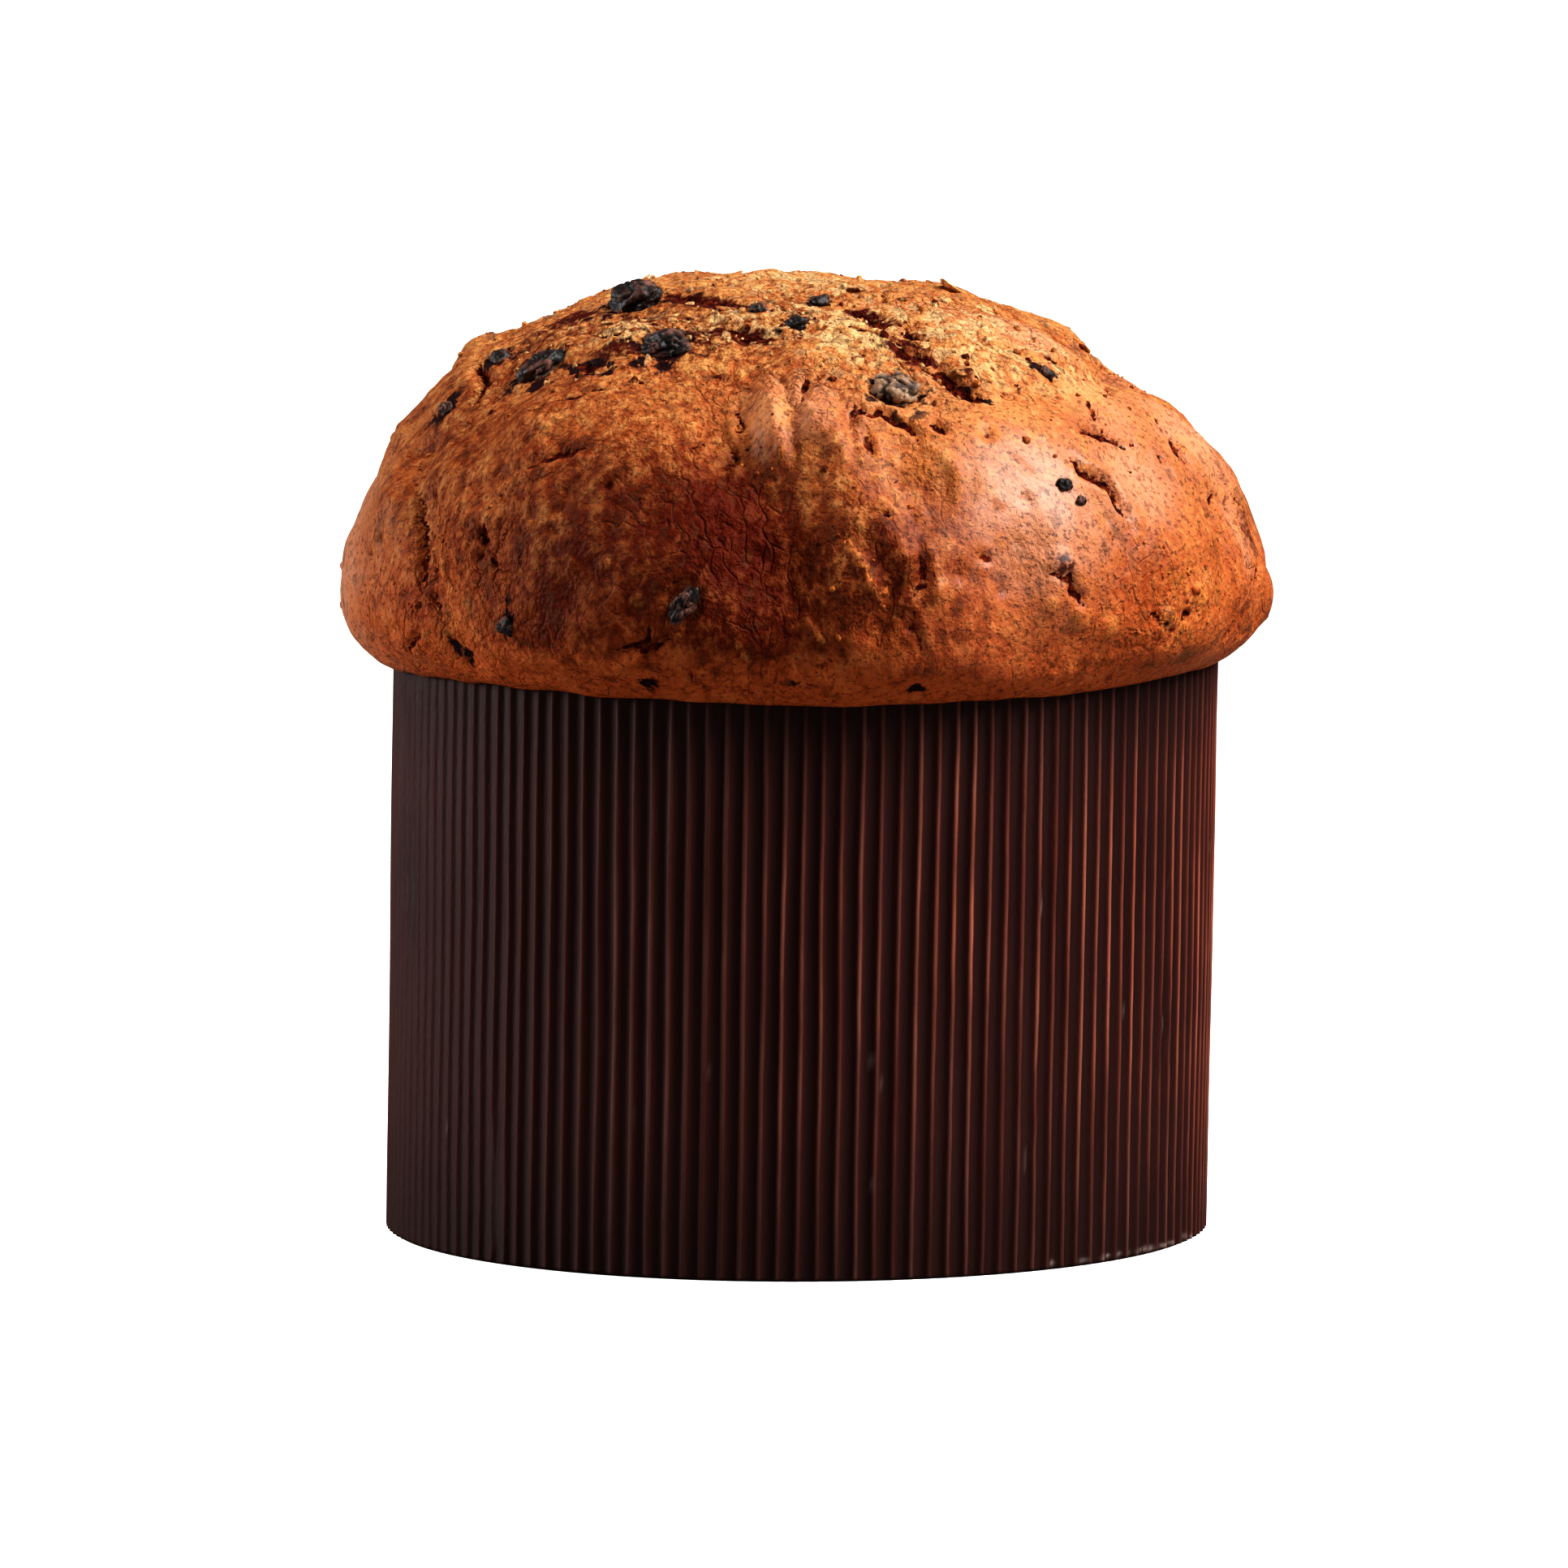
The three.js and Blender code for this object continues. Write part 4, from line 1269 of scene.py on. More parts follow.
@dataclass(frozen=True)
class CrustFinish:
    """Baked crust: golden to dark red-brown, satin where the skin is smooth.

    A band is two heights in metres: where a change of colour starts and where it is full. The shares
    say how much each pattern adds to the level of brown; the dips between pebbles add painted shade.
    """

    crumb: Color = srgb(246, 202, 144)
    kernel: Color = srgb(228, 144, 76)
    rose_sheen: Color = srgb(222, 152, 114)
    golden: Color = srgb(214, 152, 92)
    brown: Color = srgb(184, 107, 58)
    deep: Color = srgb(150, 64, 24)
    darkest: Color = srgb(100, 29, 3)
    scorched: Color = srgb(86, 24, 10)
    juice: Color = srgb(46, 18, 20)
    inside: Color = srgb(62, 15, 12)
    torn_inside: Color = srgb(134, 52, 28)
    # Oranger, lighter rim colour: partly the thin crust's own colour, partly painted bounce light from the
    # floor
    ember: Color = srgb(222, 108, 54)
    russet: Color = srgb(206, 96, 46)
    russet_band: Place = (0.142, 0.114)
    ember_band: Place = (0.116, 0.106)
    crumb_band: Place = (0.15, 0.168)
    top_band: Place = (0.148, 0.17)
    browning_and_shade: float = 0.07
    broad_share: float = 0.28
    blotch_share: float = 0.38
    speckle_share: float = 0.26
    top_share: float = -0.2
    hollow_share: float = 0.8
    roughness: float = 0.5
    split_roughness: float = 0.95
    coat: float = 1.0
    coat_roughness: float = 0.45
    specular: float = 0.1
    bump_strength: float = 0.8
    bump_distance: float = 0.0008

    def skin(self, nodes: ShaderNodes, seen: CrustPatterns) -> NodeSocket:
        """The skin's colour: golden to deep brown, darker in the dips between pebbles as painted shade,
        oranger and lighter near the rim, partly as painted bounce light, with pinkish patches of painted
        sheen and dark patches that are partly deeper browning and partly painted shade.
        """
        hollow = nodes.math("SUBTRACT", 1.05, seen.pebble.outputs["Height"])
        browning_and_shade = nodes.total(
            self.browning_and_shade,
            (seen.broad, self.broad_share),
            (seen.blotch, self.blotch_share),
            (seen.speckle, self.speckle_share),
            (nodes.spread(seen.height, *self.top_band), self.top_share),
            # Painted shade: darker in the dips between pebbles where the skin is coarse
            (hollow, nodes.times(seen.coarse, self.hollow_share)),
        )
        # The rim band: lighter and oranger, partly as painted bounce light
        rim = nodes.spread(seen.height, *self.ember_band)
        low = nodes.spread(seen.height, *self.russet_band)
        # Painted sheen, kept out of the dark patches
        rose_sheen = nodes.total(nodes.mask(Tint.ROSE_SHEEN.value), (seen.blotch, 0.4), (seen.browned_and_shaded, -0.9))
        # Darker patches, partly deeper browning and partly painted shade, less of it at the rim
        browned_and_shaded = nodes.total(seen.browned_and_shaded, (seen.blotch, 0.35), (rim, -0.34))
        return nodes.layered(
            self.golden,
            (nodes.spread(browning_and_shade, 0.0, 0.55), self.brown),
            (nodes.spread(browning_and_shade, 0.45, 1.0), self.deep),
            (nodes.times(low, 0.4), self.russet),
            (nodes.times(rim, 0.4), self.ember),
            (nodes.spread(rose_sheen, 0.35, 1.25), self.rose_sheen),
            (nodes.spread(browned_and_shaded, 0.15, 1.05), self.darkest),
            # Painted shade along the fine creases
            (nodes.times(seen.crease, 0.22), self.darkest),
        )

    def color(self, nodes: ShaderNodes, seen: CrustPatterns) -> NodeSocket:
        """The skin with pale crumbs, scorched and stained patches, splits, freckles and pores over it; the
        gold on ridges partly paints highlights, and splits, pebble gaps and pores are darkened partly as
        painted shade.
        """
        gold = seen.torn(Tint.GOLD, seen.blotch, 0.7, 0.55, 1.15)
        pale = nodes.mix(nodes.spread(seen.height, *self.crumb_band), self.kernel, self.crumb)
        bare = nodes.math("SUBTRACT", 0.34, nodes.times(seen.browned_and_shaded, 0.4), clamp=True)
        within = nodes.mix(nodes.times(seen.shreds, 0.75), self.inside, self.torn_inside)
        return nodes.layered(
            self.skin(nodes, seen),
            # Gold: golden crust, and on the ridges partly a painted highlight
            (nodes.times(gold, 0.85), pale),
            (nodes.times(seen.crumbs, bare), pale),
            (seen.torn(Tint.SCORCH, seen.speckle, 0.6, 0.55, 1.2), self.scorched),
            # Painted shade in the narrow gaps between pebbles
            (nodes.times(seen.gap, 0.6), self.scorched),
            (seen.torn(Tint.STAIN, seen.blotch, 0.9, 0.75, 1.1), self.juice),
            # Splits, dark inside partly as painted shade
            (seen.split, within),
            (nodes.times(seen.freckle, 0.45), self.scorched),
            # Painted shade in the pores
            (nodes.times(seen.grain.outputs["Pore"], 0.4), self.inside),
        )

    def relief(self, nodes: ShaderNodes, seen: CrustPatterns) -> NodeSocket:
        """The finest relief: pebbles and grain, sunk at blotches, creases, splits and freckles."""
        pebbles = nodes.times(seen.pebble.outputs["Height"], nodes.spread(seen.coarse, 0.0, 0.8, 0.1, 0.8))
        return nodes.total(
            pebbles,
            (seen.grain.outputs["Height"], 0.32),
            (seen.blotch, nodes.spread(seen.coarse, 0.0, 1.0, -0.15, -0.5)),
            (seen.speckle, -0.3),
            (seen.crease, -0.5),
            (seen.split, -0.9),
            (nodes.times(seen.split, seen.shreds), 0.9),
            (seen.freckle, -0.5),
        )

    def material(self, effects: SharedEffects) -> Material:
        """Colour from the mesh's masks, browning with painted sheen and painted shade among them, broken up
        by patches, speckles, pebbles and pores.

        Args:
            effects: The shared node groups.

        Returns:
            The crust's material.
        """
        material, nodes, surface = start_material("crust")
        seen = CrustPatterns(nodes, effects)
        rough = nodes.total(self.roughness, (seen.satin, -0.08), (seen.speckle, 0.12))
        nodes.feed_all(surface, {
            "Base Color": self.color(nodes, seen),
            "Roughness": nodes.mix_value(seen.split, rough, self.split_roughness),
            "Coat Weight": nodes.mix_value(seen.split, nodes.times(seen.satin, self.coat), 0.0),
            "Specular IOR Level": self.specular,
            "Coat Roughness": self.coat_roughness,
        })
        nodes.bump(surface, self.relief(nodes, seen), self.bump_strength, self.bump_distance)
        return material


@dataclass(frozen=True)
class PaperFinish:
    """Dark brown baking paper with a faint waxy sheen, paler along its rib crests, partly from wear and
    partly as a painted highlight, and darker in the valleys as painted shade.
    """

    valley: Color = srgb(44, 9, 5)
    cool_valley: Color = srgb(64, 31, 26)
    # Painted shade: the paper darkened under the crown's rim and towards the foot
    painted_shade_color: Color = srgb(36, 14, 11)
    wall: Color = srgb(78, 27, 19)
    crest: Color = srgb(154, 114, 100)
    warm_crest: Color = srgb(186, 106, 80)
    # Pale colour of the scuffs and of the painted glints at the foot
    scuff_and_glint: Color = srgb(214, 194, 184)
    fibre_stretch: tuple[float, float, float] = (1.0, 1.0, 0.05)
    grain_stretch: tuple[float, float, float] = (1.0, 1.0, 0.25)
    roughness: float = 0.52
    specular: float = 0.3

    def material(self, effects: SharedEffects) -> Material:
        """Colour by the height of the rib, with paler crests partly as a painted highlight and darker
        valleys as painted shade, upright fibres, uneven ribs, small pale scuffs and painted glints.

        Args:
            effects: The shared node groups.

        Returns:
            The paper's material.
        """
        material, nodes, surface = start_material("paper")
        fibres = effects.patches(nodes, nodes.where(self.fibre_stretch), size=0.0009, softness=0.25)
        clouds = effects.patches(nodes, nodes.where(), size=0.016, softness=0.2)
        grain = nodes.group(effects.grain, Place=nodes.where(self.grain_stretch), Size=0.0006, Pores=0.3)
        crest, warmth_and_painted_light = nodes.mask("crest"), nodes.mask("warmth_and_painted_light")
        # Painted light: greyer, lighter valleys and crests on the left, where the fill lamp falls, and red
        # ones on the right, where the key falls
        valley = nodes.mix(warmth_and_painted_light, self.cool_valley, self.valley)
        tops = nodes.mix(warmth_and_painted_light, self.crest, self.warm_crest)
        # Crest brightness: each rib's own tone with painted light
        bright = nodes.times(nodes.spread(crest, 0.6, 1.0), nodes.mask("rib_tone_and_painted_light"))
        # Paler crests, partly wear and partly painted highlight; darker valleys, painted shade
        ribs = nodes.layered(valley, (nodes.spread(crest, 0.0, 0.6), self.wall), (bright, tops))
        shade = nodes.times(nodes.times(fibres, 0.35, 0.65), nodes.times(clouds, 0.3, 0.75))
        color = nodes.layered(
            valley,
            (shade, ribs),
            # Painted shade under the crown's rim and towards the foot
            (nodes.mask("painted_shade"), self.painted_shade_color),
            # Scuffs, and painted glints at the foot
            (nodes.mask("scuff_and_glint"), self.scuff_and_glint),
        )
        nodes.feed_all(surface, {
            "Base Color": color,
            "Roughness": nodes.times(fibres, 0.15, self.roughness),
            "Specular IOR Level": self.specular,
        })
        nodes.bump(surface, grain.outputs["Height"], 0.5, 0.0002)
        return material


@dataclass(frozen=True)
class RaisinFinish:
    """A raisin's skin from the oven: dark in its wrinkles, partly as painted shade, with thin pale patches
    on some of them, partly sugar coating and partly painted sheen.
    """

    name: str
    skin: Color
    fold: Color
    bloom_and_sheen: Color
    bloom_and_sheen_level: float
    roughness: float = 0.46
    coat: float = 0.12
    coat_roughness: float = 0.3

    def material(self, effects: SharedEffects) -> Material:
        """Colour by the depth of the wrinkles, darker in them partly as painted shade, with pale patches of
        sugar coating and painted sheen.

        Args:
            effects: The shared node groups.

        Returns:
            The raisin's material.
        """
        material, nodes, surface = start_material(self.name)
        place = nodes.where()
        # Pale patches: partly sugar coating, partly painted sheen
        clouds = effects.patches(nodes, place, size=0.0036, softness=0.12, level=self.bloom_and_sheen_level)
        grain = nodes.group(effects.grain, Place=place, Size=0.0005, Pores=0.6)
        # Darker in the wrinkles, partly as painted shade
        fold = nodes.spread(nodes.mask("fold"), 0.15, 0.85)
        nodes.feed_all(surface, {
            "Base Color": nodes.layered(self.skin, (clouds, self.bloom_and_sheen), (fold, self.fold)),
            "Roughness": nodes.times(clouds, 0.25, self.roughness),
            "Coat Weight": self.coat,
            "Coat Roughness": self.coat_roughness,
        })
        nodes.bump(surface, grain.outputs["Height"], 0.6, 0.0003)
        return material


@dataclass
class Loaf:
    """The bread: its body in the case, the slot for the rim, the lip and the crust of the dome."""

    crown: Crown
    finish: CrustFinish
    body_radius: float = 75.3
    body_foot: float = 1.3
    body_top: float = 110.3
    cap_cells: int = 150
    cap_reach: float = 62.0
    ring_count: int = 108
    crowding: float = 0.25

    def crowded(self, angle: Array) -> Array:
        """Azimuths crowded towards the front, as angle - crowding * sin(angle)."""
        return angle - self.crowding * np.sin(angle)

    def cap(self) -> tuple[Array, Array, Array]:
        """The top of the dome as a square grid wrapped into a disc, so that no faces meet in a pole.

        A grid point's larger coordinate is its distance from the top and its smaller one, over the
        larger, its angle within a quarter turn.

        Returns:
            The smooth points, the quads, and the vertex numbers round the rim.
        """
        cells = self.cap_cells
        side = np.linspace(-1.0, 1.0, cells + 1)
        u, v = np.meshgrid(side, side, indexing="ij")
        far = np.maximum(np.abs(u), np.abs(v))
        flat = np.abs(u) >= np.abs(v)
        low, high = np.where(flat, v, u), np.where(flat, u, v)
        share = np.where(high != 0.0, low / np.where(high == 0.0, 1.0, high), 0.0) * np.pi / 4.0
        angle = np.where(flat, share + np.where(u < 0.0, np.pi, 0.0), 0.0)
        angle = np.where(flat, angle, np.pi / 2.0 - share + np.where(v < 0.0, np.pi, 0.0))
        points = self.crown.along_section(far * self.cap_reach, self.crowded(angle)).reshape(-1, 3)
        index = np.arange((cells + 1) ** 2).reshape(cells + 1, cells + 1)
        quads = np.stack([index[:-1, :-1], index[1:, :-1], index[1:, 1:], index[:-1, 1:]], axis=-1)
        rim = [index[cells, :cells], index[cells:0:-1, cells], index[0, cells:0:-1], index[:cells, 0]]
        return points, quads.reshape(-1, 4), np.concatenate(rim)

    def rings(self, angle: Array) -> Array:
        """The rest of the dome and the lip as rings, from the lip's end up to just under the cap."""
        lengths = np.linspace(self.crown.section_length[-1], self.cap_reach, self.ring_count, endpoint=False)
        return self.crown.along_section(*np.meshgrid(lengths, angle, indexing="ij"))

    def foot_rings(self, angle: Array) -> Array:
        """The body inside the case and the slot that the case's rim sits in, as rings from below."""
        section = [
            (self.body_radius, self.body_foot),
            (self.body_radius, self.body_top),
            (self.crown.collar_radius, self.body_top),
        ]
        return np.array([round_points(radius, angle, height) for radius, height in section])

    def build(self, effects: SharedEffects) -> Object:
        """Builds the loaf as one closed surface and dresses it.

        Args:
            effects: The shared node groups.

        Returns:
            The loaf.
        """
        cap_points, cap_quads, rim = self.cap()
        columns = len(rim)
        angle = self.crowded(ring_angles(columns) - np.pi / 4.0)
        rings = self.rings(angle)
        smooth = np.concatenate([cap_points, rings.reshape(-1, 3)])
        crust, tints = self.crown.crust(smooth)
        foot = self.crown.leaning(self.foot_rings(angle).reshape(-1, 3))
        pole = self.crown.leaning(np.array([[0.0, 0.0, self.body_foot]]))
        points = np.concatenate([crust, foot, pole])
        ring_index = len(cap_points) + np.arange(rings.shape[0] * columns).reshape(-1, columns)
        foot_index = len(crust) + np.arange(len(foot)).reshape(-1, columns)
        index = np.concatenate([foot_index, ring_index, rim[None]])
        under = fan_faces(foot_index[0], len(points) - 1, pole_above=False)
        masks = {tint.value: np.pad(values, (0, len(foot) + 1)) for tint, values in tints.items()}
        mesh = SurfaceMesh(points, [cap_quads, grid_faces(index), under], masks)
        piece = mesh.make("loaf_crust", self.finish.material(effects), Slot.CRUST)
        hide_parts("loaf")
        return piece


@dataclass(frozen=True)
class PaleMark:
    """A small pale mark on the paper, either wear or a painted glint: its place, half length along the rib,
    half width and strength.
    """

    azimuth: float
    height: float
    tall: float
    wide: float
    strength: float


@dataclass
class PaperCase:
    """The corrugated paper case: ribs from the foot to the rim, a smooth inner wall and a flat base.

    A crushed place is an azimuth, a height and a strength, and spreads over crushed_reach degrees and
    millimetres. The ribs are flatter round one azimuth, given with its spread and strength. The rubbed
    place is an azimuth, a height and the two spreads. Each row of the drawn marks is a seed, a count,
    and the least and the most of a mark's values: the first row draws small scuffs, the second painted
    glints of light on the rib ends along the foot.
    """

    crown: Crown
    finish: PaperFinish
    radius: float
    height: float
    rib_count: int = 140
    rib_steps: int = 10
    rib_depth: float = 0.9
    rib_sharpness: float = 2.1
    hem: float = 0.5
    foot: float = 3.2
    bore_radius: float = 75.6
    base_radius: float = 75.9
    base_chamfer: float = 0.4
    floor: float = 1.0
    foot_rows: int = 7
    rows: int = 54
    crushed: tuple[tuple[float, float, float], ...] = (
        (-46, 14, 1.3), (-70, 68, 0.6), (33, 30, 0.35), (60, 40, 0.5), (150, 18, 0.8), (-120, 70, 0.5),
    )
    crushed_reach: Place = (1.9, 11.0)
    flattened: tuple[float, float, float] = (-72, 34, 0.4)
    rubbed: tuple[float, float, float, float] = (288.0, 65.0, 8.0, 14.0)
    # Bands of painted shade, under the crown's rim and towards the foot
    painted_shade_top: Place = (82.0, 108.0)
    painted_shade_foot: Place = (-32.0, -2.0)
    sway: tuple[Ripple, ...] = (Ripple(61, 4.5, 0.34), Ripple(64, 13.0, 0.4))
    jitter: Ripple = Ripple(65, 6.0, 0.12)
    kinks: Ripple = Ripple(62, 6.0, 2.6)
    wave: Ripple = Ripple(63, 34.0, 0.12)
    wear: tuple[Ripple, ...] = (Ripple(66, 4.0, 0.55), Ripple(67, 12.0, 0.4))
    warm_clouds: Ripple = Ripple(68, 9.0, 0.3)
    scuffs: tuple[PaleMark, ...] = (
        PaleMark(9.6, 39, 0.5, 0.5, 0.4),
        PaleMark(60.2, 42, 0.8, 0.4, 0.5),
        PaleMark(-70, 70, 1.2, 0.4, 0.4),
        PaleMark(34, 66, 1.4, 0.3, 0.35),
    )
    drawn_scuffs_and_glints: tuple[tuple[int, int, tuple, tuple], ...] = (
        (71, 46, (-180.0, 4.0, 0.4, 0.15, 0.0), (180.0, 100.0, 1.4, 0.35, 0.22)),
        # Painted glints of light on the rib ends along the foot, at the right
        (72, 26, (36.0, 0.9, 0.3, 0.3, 0.15), (74.0, 1.5, 0.5, 0.8, 0.5)),
    )

    def wall(self, azimuth: Array, height: Array) -> tuple[Array, Array]:
        """The wall's outer radius, and how near each point is to a rib's crest.

        A rib is (half a cosine and a half) to a power, which makes narrow crests. Where the paper is
        crushed, the ribs lean aside and are pressed flatter, and the whole wall waves a little.

        Args:
            azimuth: Angles in radians.
            height: Heights in millimetres, of the same shape.

        Returns:
            The radius in millimetres, and 1 on a crest down to 0 in a valley.
        """
        places = round_points(self.radius, azimuth, height).reshape(-1, 3)
        upright = places * np.array([1.0, 1.0, 0.16])
        sway = (sum(layer(upright) for layer in self.sway) + self.jitter(places)).reshape(azimuth.shape)
        press = np.zeros_like(azimuth)
        wide, tall = self.crushed_reach
        for middle, level, strength in self.crushed:
            press += strength * bell(degrees_off(azimuth, middle), wide) * bell(height - level, tall)
        kinks = press * self.kinks(places).reshape(azimuth.shape)
        rib = 0.5 + 0.5 * np.cos(self.rib_count * azimuth + sway + kinks)
        crest = rib**self.rib_sharpness * (1.0 - 0.6 * np.clip(press, 0.0, 1.0))
        middle, spread, strength = self.flattened
        crest *= 1.0 - strength * bell(degrees_off(azimuth, middle), spread)
        wave = self.wave(places).reshape(azimuth.shape) - self.wave.rise
        return self.radius - self.rib_depth * (1.0 - crest) + wave, crest

    def marks(self, azimuth: Array, height: Array) -> Array:
        """The mask of the pale scuffs: those of the photograph, random ones, and painted glints of light at
        the foot.
        """
        drawn = (PaleMark(*row) for rule in self.drawn_scuffs_and_glints for row in drawn_rows(*rule))
        mask = np.zeros_like(azimuth)
        for mark in (*self.scuffs, *drawn):
            across = np.radians(degrees_off(azimuth, mark.azimuth)) * self.radius
            fall = bell(across, mark.wide) * bell(height - mark.height, mark.tall)
            mask = np.maximum(mask, mark.strength * fall)
        return mask

    def shades(self, turn: Array, level: Array, points: Array) -> dict[str, Array]:
        """Painted light on the paper: how bright and how warm the rib crests are, and where it is darker.

        The crests are painted brightest and reddest at the right and at mid-height, where the key lamp
        lights them, and each rib has its own brightness. The paper is painted darker under the crown's rim
        and towards the foot, as shade.

        Args:
            turn: The columns' azimuths in radians.
            level: The heights in millimetres, a row for each ring.
            points: The same points, one a row.

        Returns:
            The masks by their names.
        """
        own = np.random.default_rng(73).random(self.rib_count) * 0.6 + 0.4
        own = np.roll(np.repeat(own, self.rib_steps), -self.rib_steps // 2)
        worn = points * np.array([1.0, 1.0, 0.2])
        middle, high, wide, tall = self.rubbed
        rubbed = bell(degrees_off(turn, middle), wide) * bell(level - high, tall)
        # Painted light: crests brighter towards the right, where the key lamp is, and at mid-height, darker
        # under the crown; each rib's own brightness is its tone
        shade = own * (0.7 + 0.46 * np.sin(turn)) * (0.5 + 0.6 * bell(level - 58.0, 42.0))
        shade *= 1.0 + sum(layer(worn) for layer in self.wear).reshape(shade.shape)
        # Painted light: redder towards the right, where the key lamp lights the paper, and at mid-height;
        # the clouds add a random warm tint
        warmth_and_painted_light = 0.15 + 0.5 * np.sin(turn - 0.2) + 0.4 * bell(level - high, 35.0)
        warmth_and_painted_light += self.warm_clouds(worn).reshape(shade.shape)
        # Painted shade: darker under the crown's rim and towards the foot
        painted_shade = 0.5 * smoothstep(level, *self.painted_shade_top) + 0.4 * smoothstep(-level, *self.painted_shade_foot)
        return {
            "rib_tone_and_painted_light": np.clip(shade + 0.3 * rubbed, 0.0, 1.2),
            "warmth_and_painted_light": np.clip(warmth_and_painted_light + 0.8 * rubbed, 0.0, 1.0),
            "painted_shade": np.clip(painted_shade, 0.0, 1.0),
        }

    def build(self, effects: SharedEffects) -> Object:
        """Builds the case as one closed surface: base, foot, ribbed wall, rim, inner wall and floor.

        Args:
            effects: The shared node groups.

        Returns:
            The case.
        """
        angle = ring_angles(self.rib_count * self.rib_steps)
        fine = np.linspace(self.hem, self.foot, self.foot_rows, endpoint=False)
        heights = np.concatenate([fine, np.linspace(self.foot, self.height, self.rows)])
        azimuth, height = np.meshgrid(angle, heights, indexing="xy")
        radius, crest = self.wall(azimuth, height)
        base = np.array([[self.base_radius - self.base_chamfer, 0.0], [self.base_radius, 0.5 * self.hem]])
        bore = np.array([[self.bore_radius, self.height], [self.bore_radius, self.floor]])
        walls = (radius, height, crest, self.marks(azimuth, height))
        radius, level, crest, scuff_and_glint = (np.pad(values, ((2, 2), (0, 0))) for values in walls)
        radius[:2], level[:2] = base.T[..., None]
        radius[-2:], level[-2:] = bore.T[..., None]
        poles = np.array([[0.0, 0.0, 0.0], [0.0, 0.0, self.floor]])
        points = np.concatenate([round_points(radius, angle, level).reshape(-1, 3), poles])
        points = self.crown.leaning(points)
        masks = {"crest": crest, "scuff_and_glint": scuff_and_glint, **self.shades(angle, level, points[:-2])}
        masks = {label: np.pad(values.ravel(), (0, len(poles))) for label, values in masks.items()}
        mesh = SurfaceMesh(points, closed_faces(*radius.shape), masks)
        piece = mesh.make("paper_wall", self.finish.material(effects), Slot.PAPER)
        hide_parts("paper_case")
        return piece


@dataclass
class RaisinMaker:
    """Wrinkled ellipsoids set in the crust."""

    crown: Crown
    wrinkle: float = 0.12
    shrivel: float = 0.2
    unevenness: float = 0.26
    grid: tuple[int, int] = (56, 36)
    bit_grid: tuple[int, int] = (26, 16)
    bit_swell: float = 1.08
    bit_flatness: float = 0.75
    bit_sink: float = 0.45

    def ball(self, columns: int, rows: int) -> tuple[Array, list[Array]]:
        """A unit ball of rings between two poles.

        Args:
            columns: Points round each ring.
            rows: Bands from pole to pole.

        Returns:
            Its points, the poles last, and its faces.
        """
        tilt = np.pi * np.arange(1, rows) / rows
        tilt, turn = np.meshgrid(tilt, ring_angles(columns), indexing="ij")
        rings = np.stack([np.sin(tilt) * np.cos(turn), np.sin(tilt) * np.sin(turn), -np.cos(tilt)], axis=-1)
        points = np.concatenate([rings.reshape(-1, 3), [[0.0, 0.0, -1.0], [0.0, 0.0, 1.0]]])
        return points, closed_faces(*tilt.shape)

    def shape(self, azimuth: float, height: float, half: Array, turn: float, sink: float,
              grid: tuple[int, int]) -> SurfaceMesh:
        """One raisin: a ball stretched to its half sizes and pulled in along winding furrows.

        Args:
            azimuth: Its azimuth in degrees.
            height: Its height in millimetres.
            half: Its three half sizes.
            turn: Its turn in the crust in degrees.
            sink: How deep its middle lies.
            grid: Points round each ring, and bands from pole to pole.

        Returns:
            Its surface, with the mask of its folds.
        """
        ball, faces = self.ball(*grid)
        draw = Grain(int(abs(azimuth) * 7 + height))
        bend = ball + 0.3 * np.stack([draw(ball + k, 0.8) for k in range(3)], axis=1)
        fold = np.clip(draw.furrows(bend, 0.62) + 0.6 * draw.furrows(bend + 3.0, 0.34), 0.0, 1.0)
        size = 1.0 + self.wrinkle * np.sin(5.0 * ball[:, 0] + azimuth) * np.sin(4.0 * ball[:, 1] + height)
        size = size - self.shrivel * fold + self.unevenness * draw(ball + 9.0, 0.9)
        middle, axes = self.crown.seat(azimuth, height, turn, sink)
        points = middle + (ball * size[:, None] * half) @ axes
        return SurfaceMesh(self.crown.leaning(points), faces, {"fold": fold})

    def raisin(self, place: RaisinPlace, material: Material) -> Object:
        """Builds one large raisin in place of its node."""
        half = np.array(place.half)
        sink = half[2] - place.proud
        mesh = self.shape(place.azimuth, place.height, half, place.turn, sink, self.grid)
        piece = mesh.make(f"{place.name}_skin", material, Slot.RAISIN)
        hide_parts(place.name)
        return piece

    def bits(self, material: Material) -> Object:
        """Builds the small bits of raisin as one piece; in the part they are fused to the loaf."""
        blocks = []
        shares = self.bit_swell * np.array([1.0, self.bit_flatness, self.bit_flatness])
        for bit in BITS:
            sink = bit.half * self.bit_sink
            blocks.append(self.shape(bit.azimuth, bit.height, bit.half * shares, 0.0, sink, self.bit_grid))
        return join_blocks(blocks).make("raisin_bits", material, Slot.RAISIN)


def join_blocks(blocks: Sequence[SurfaceMesh]) -> SurfaceMesh:
    """Several surfaces as one, with their vertex numbers moved on."""
    starts = np.cumsum([0, *(len(block.points) for block in blocks[:-1])])
    faces = [face + start for block, start in zip(blocks, starts) for face in block.faces]
    masks = {
        label: np.concatenate([block.masks[label] for block in blocks]) for label in blocks[0].masks
    }
    return SurfaceMesh(np.concatenate([block.points for block in blocks]), faces, masks)


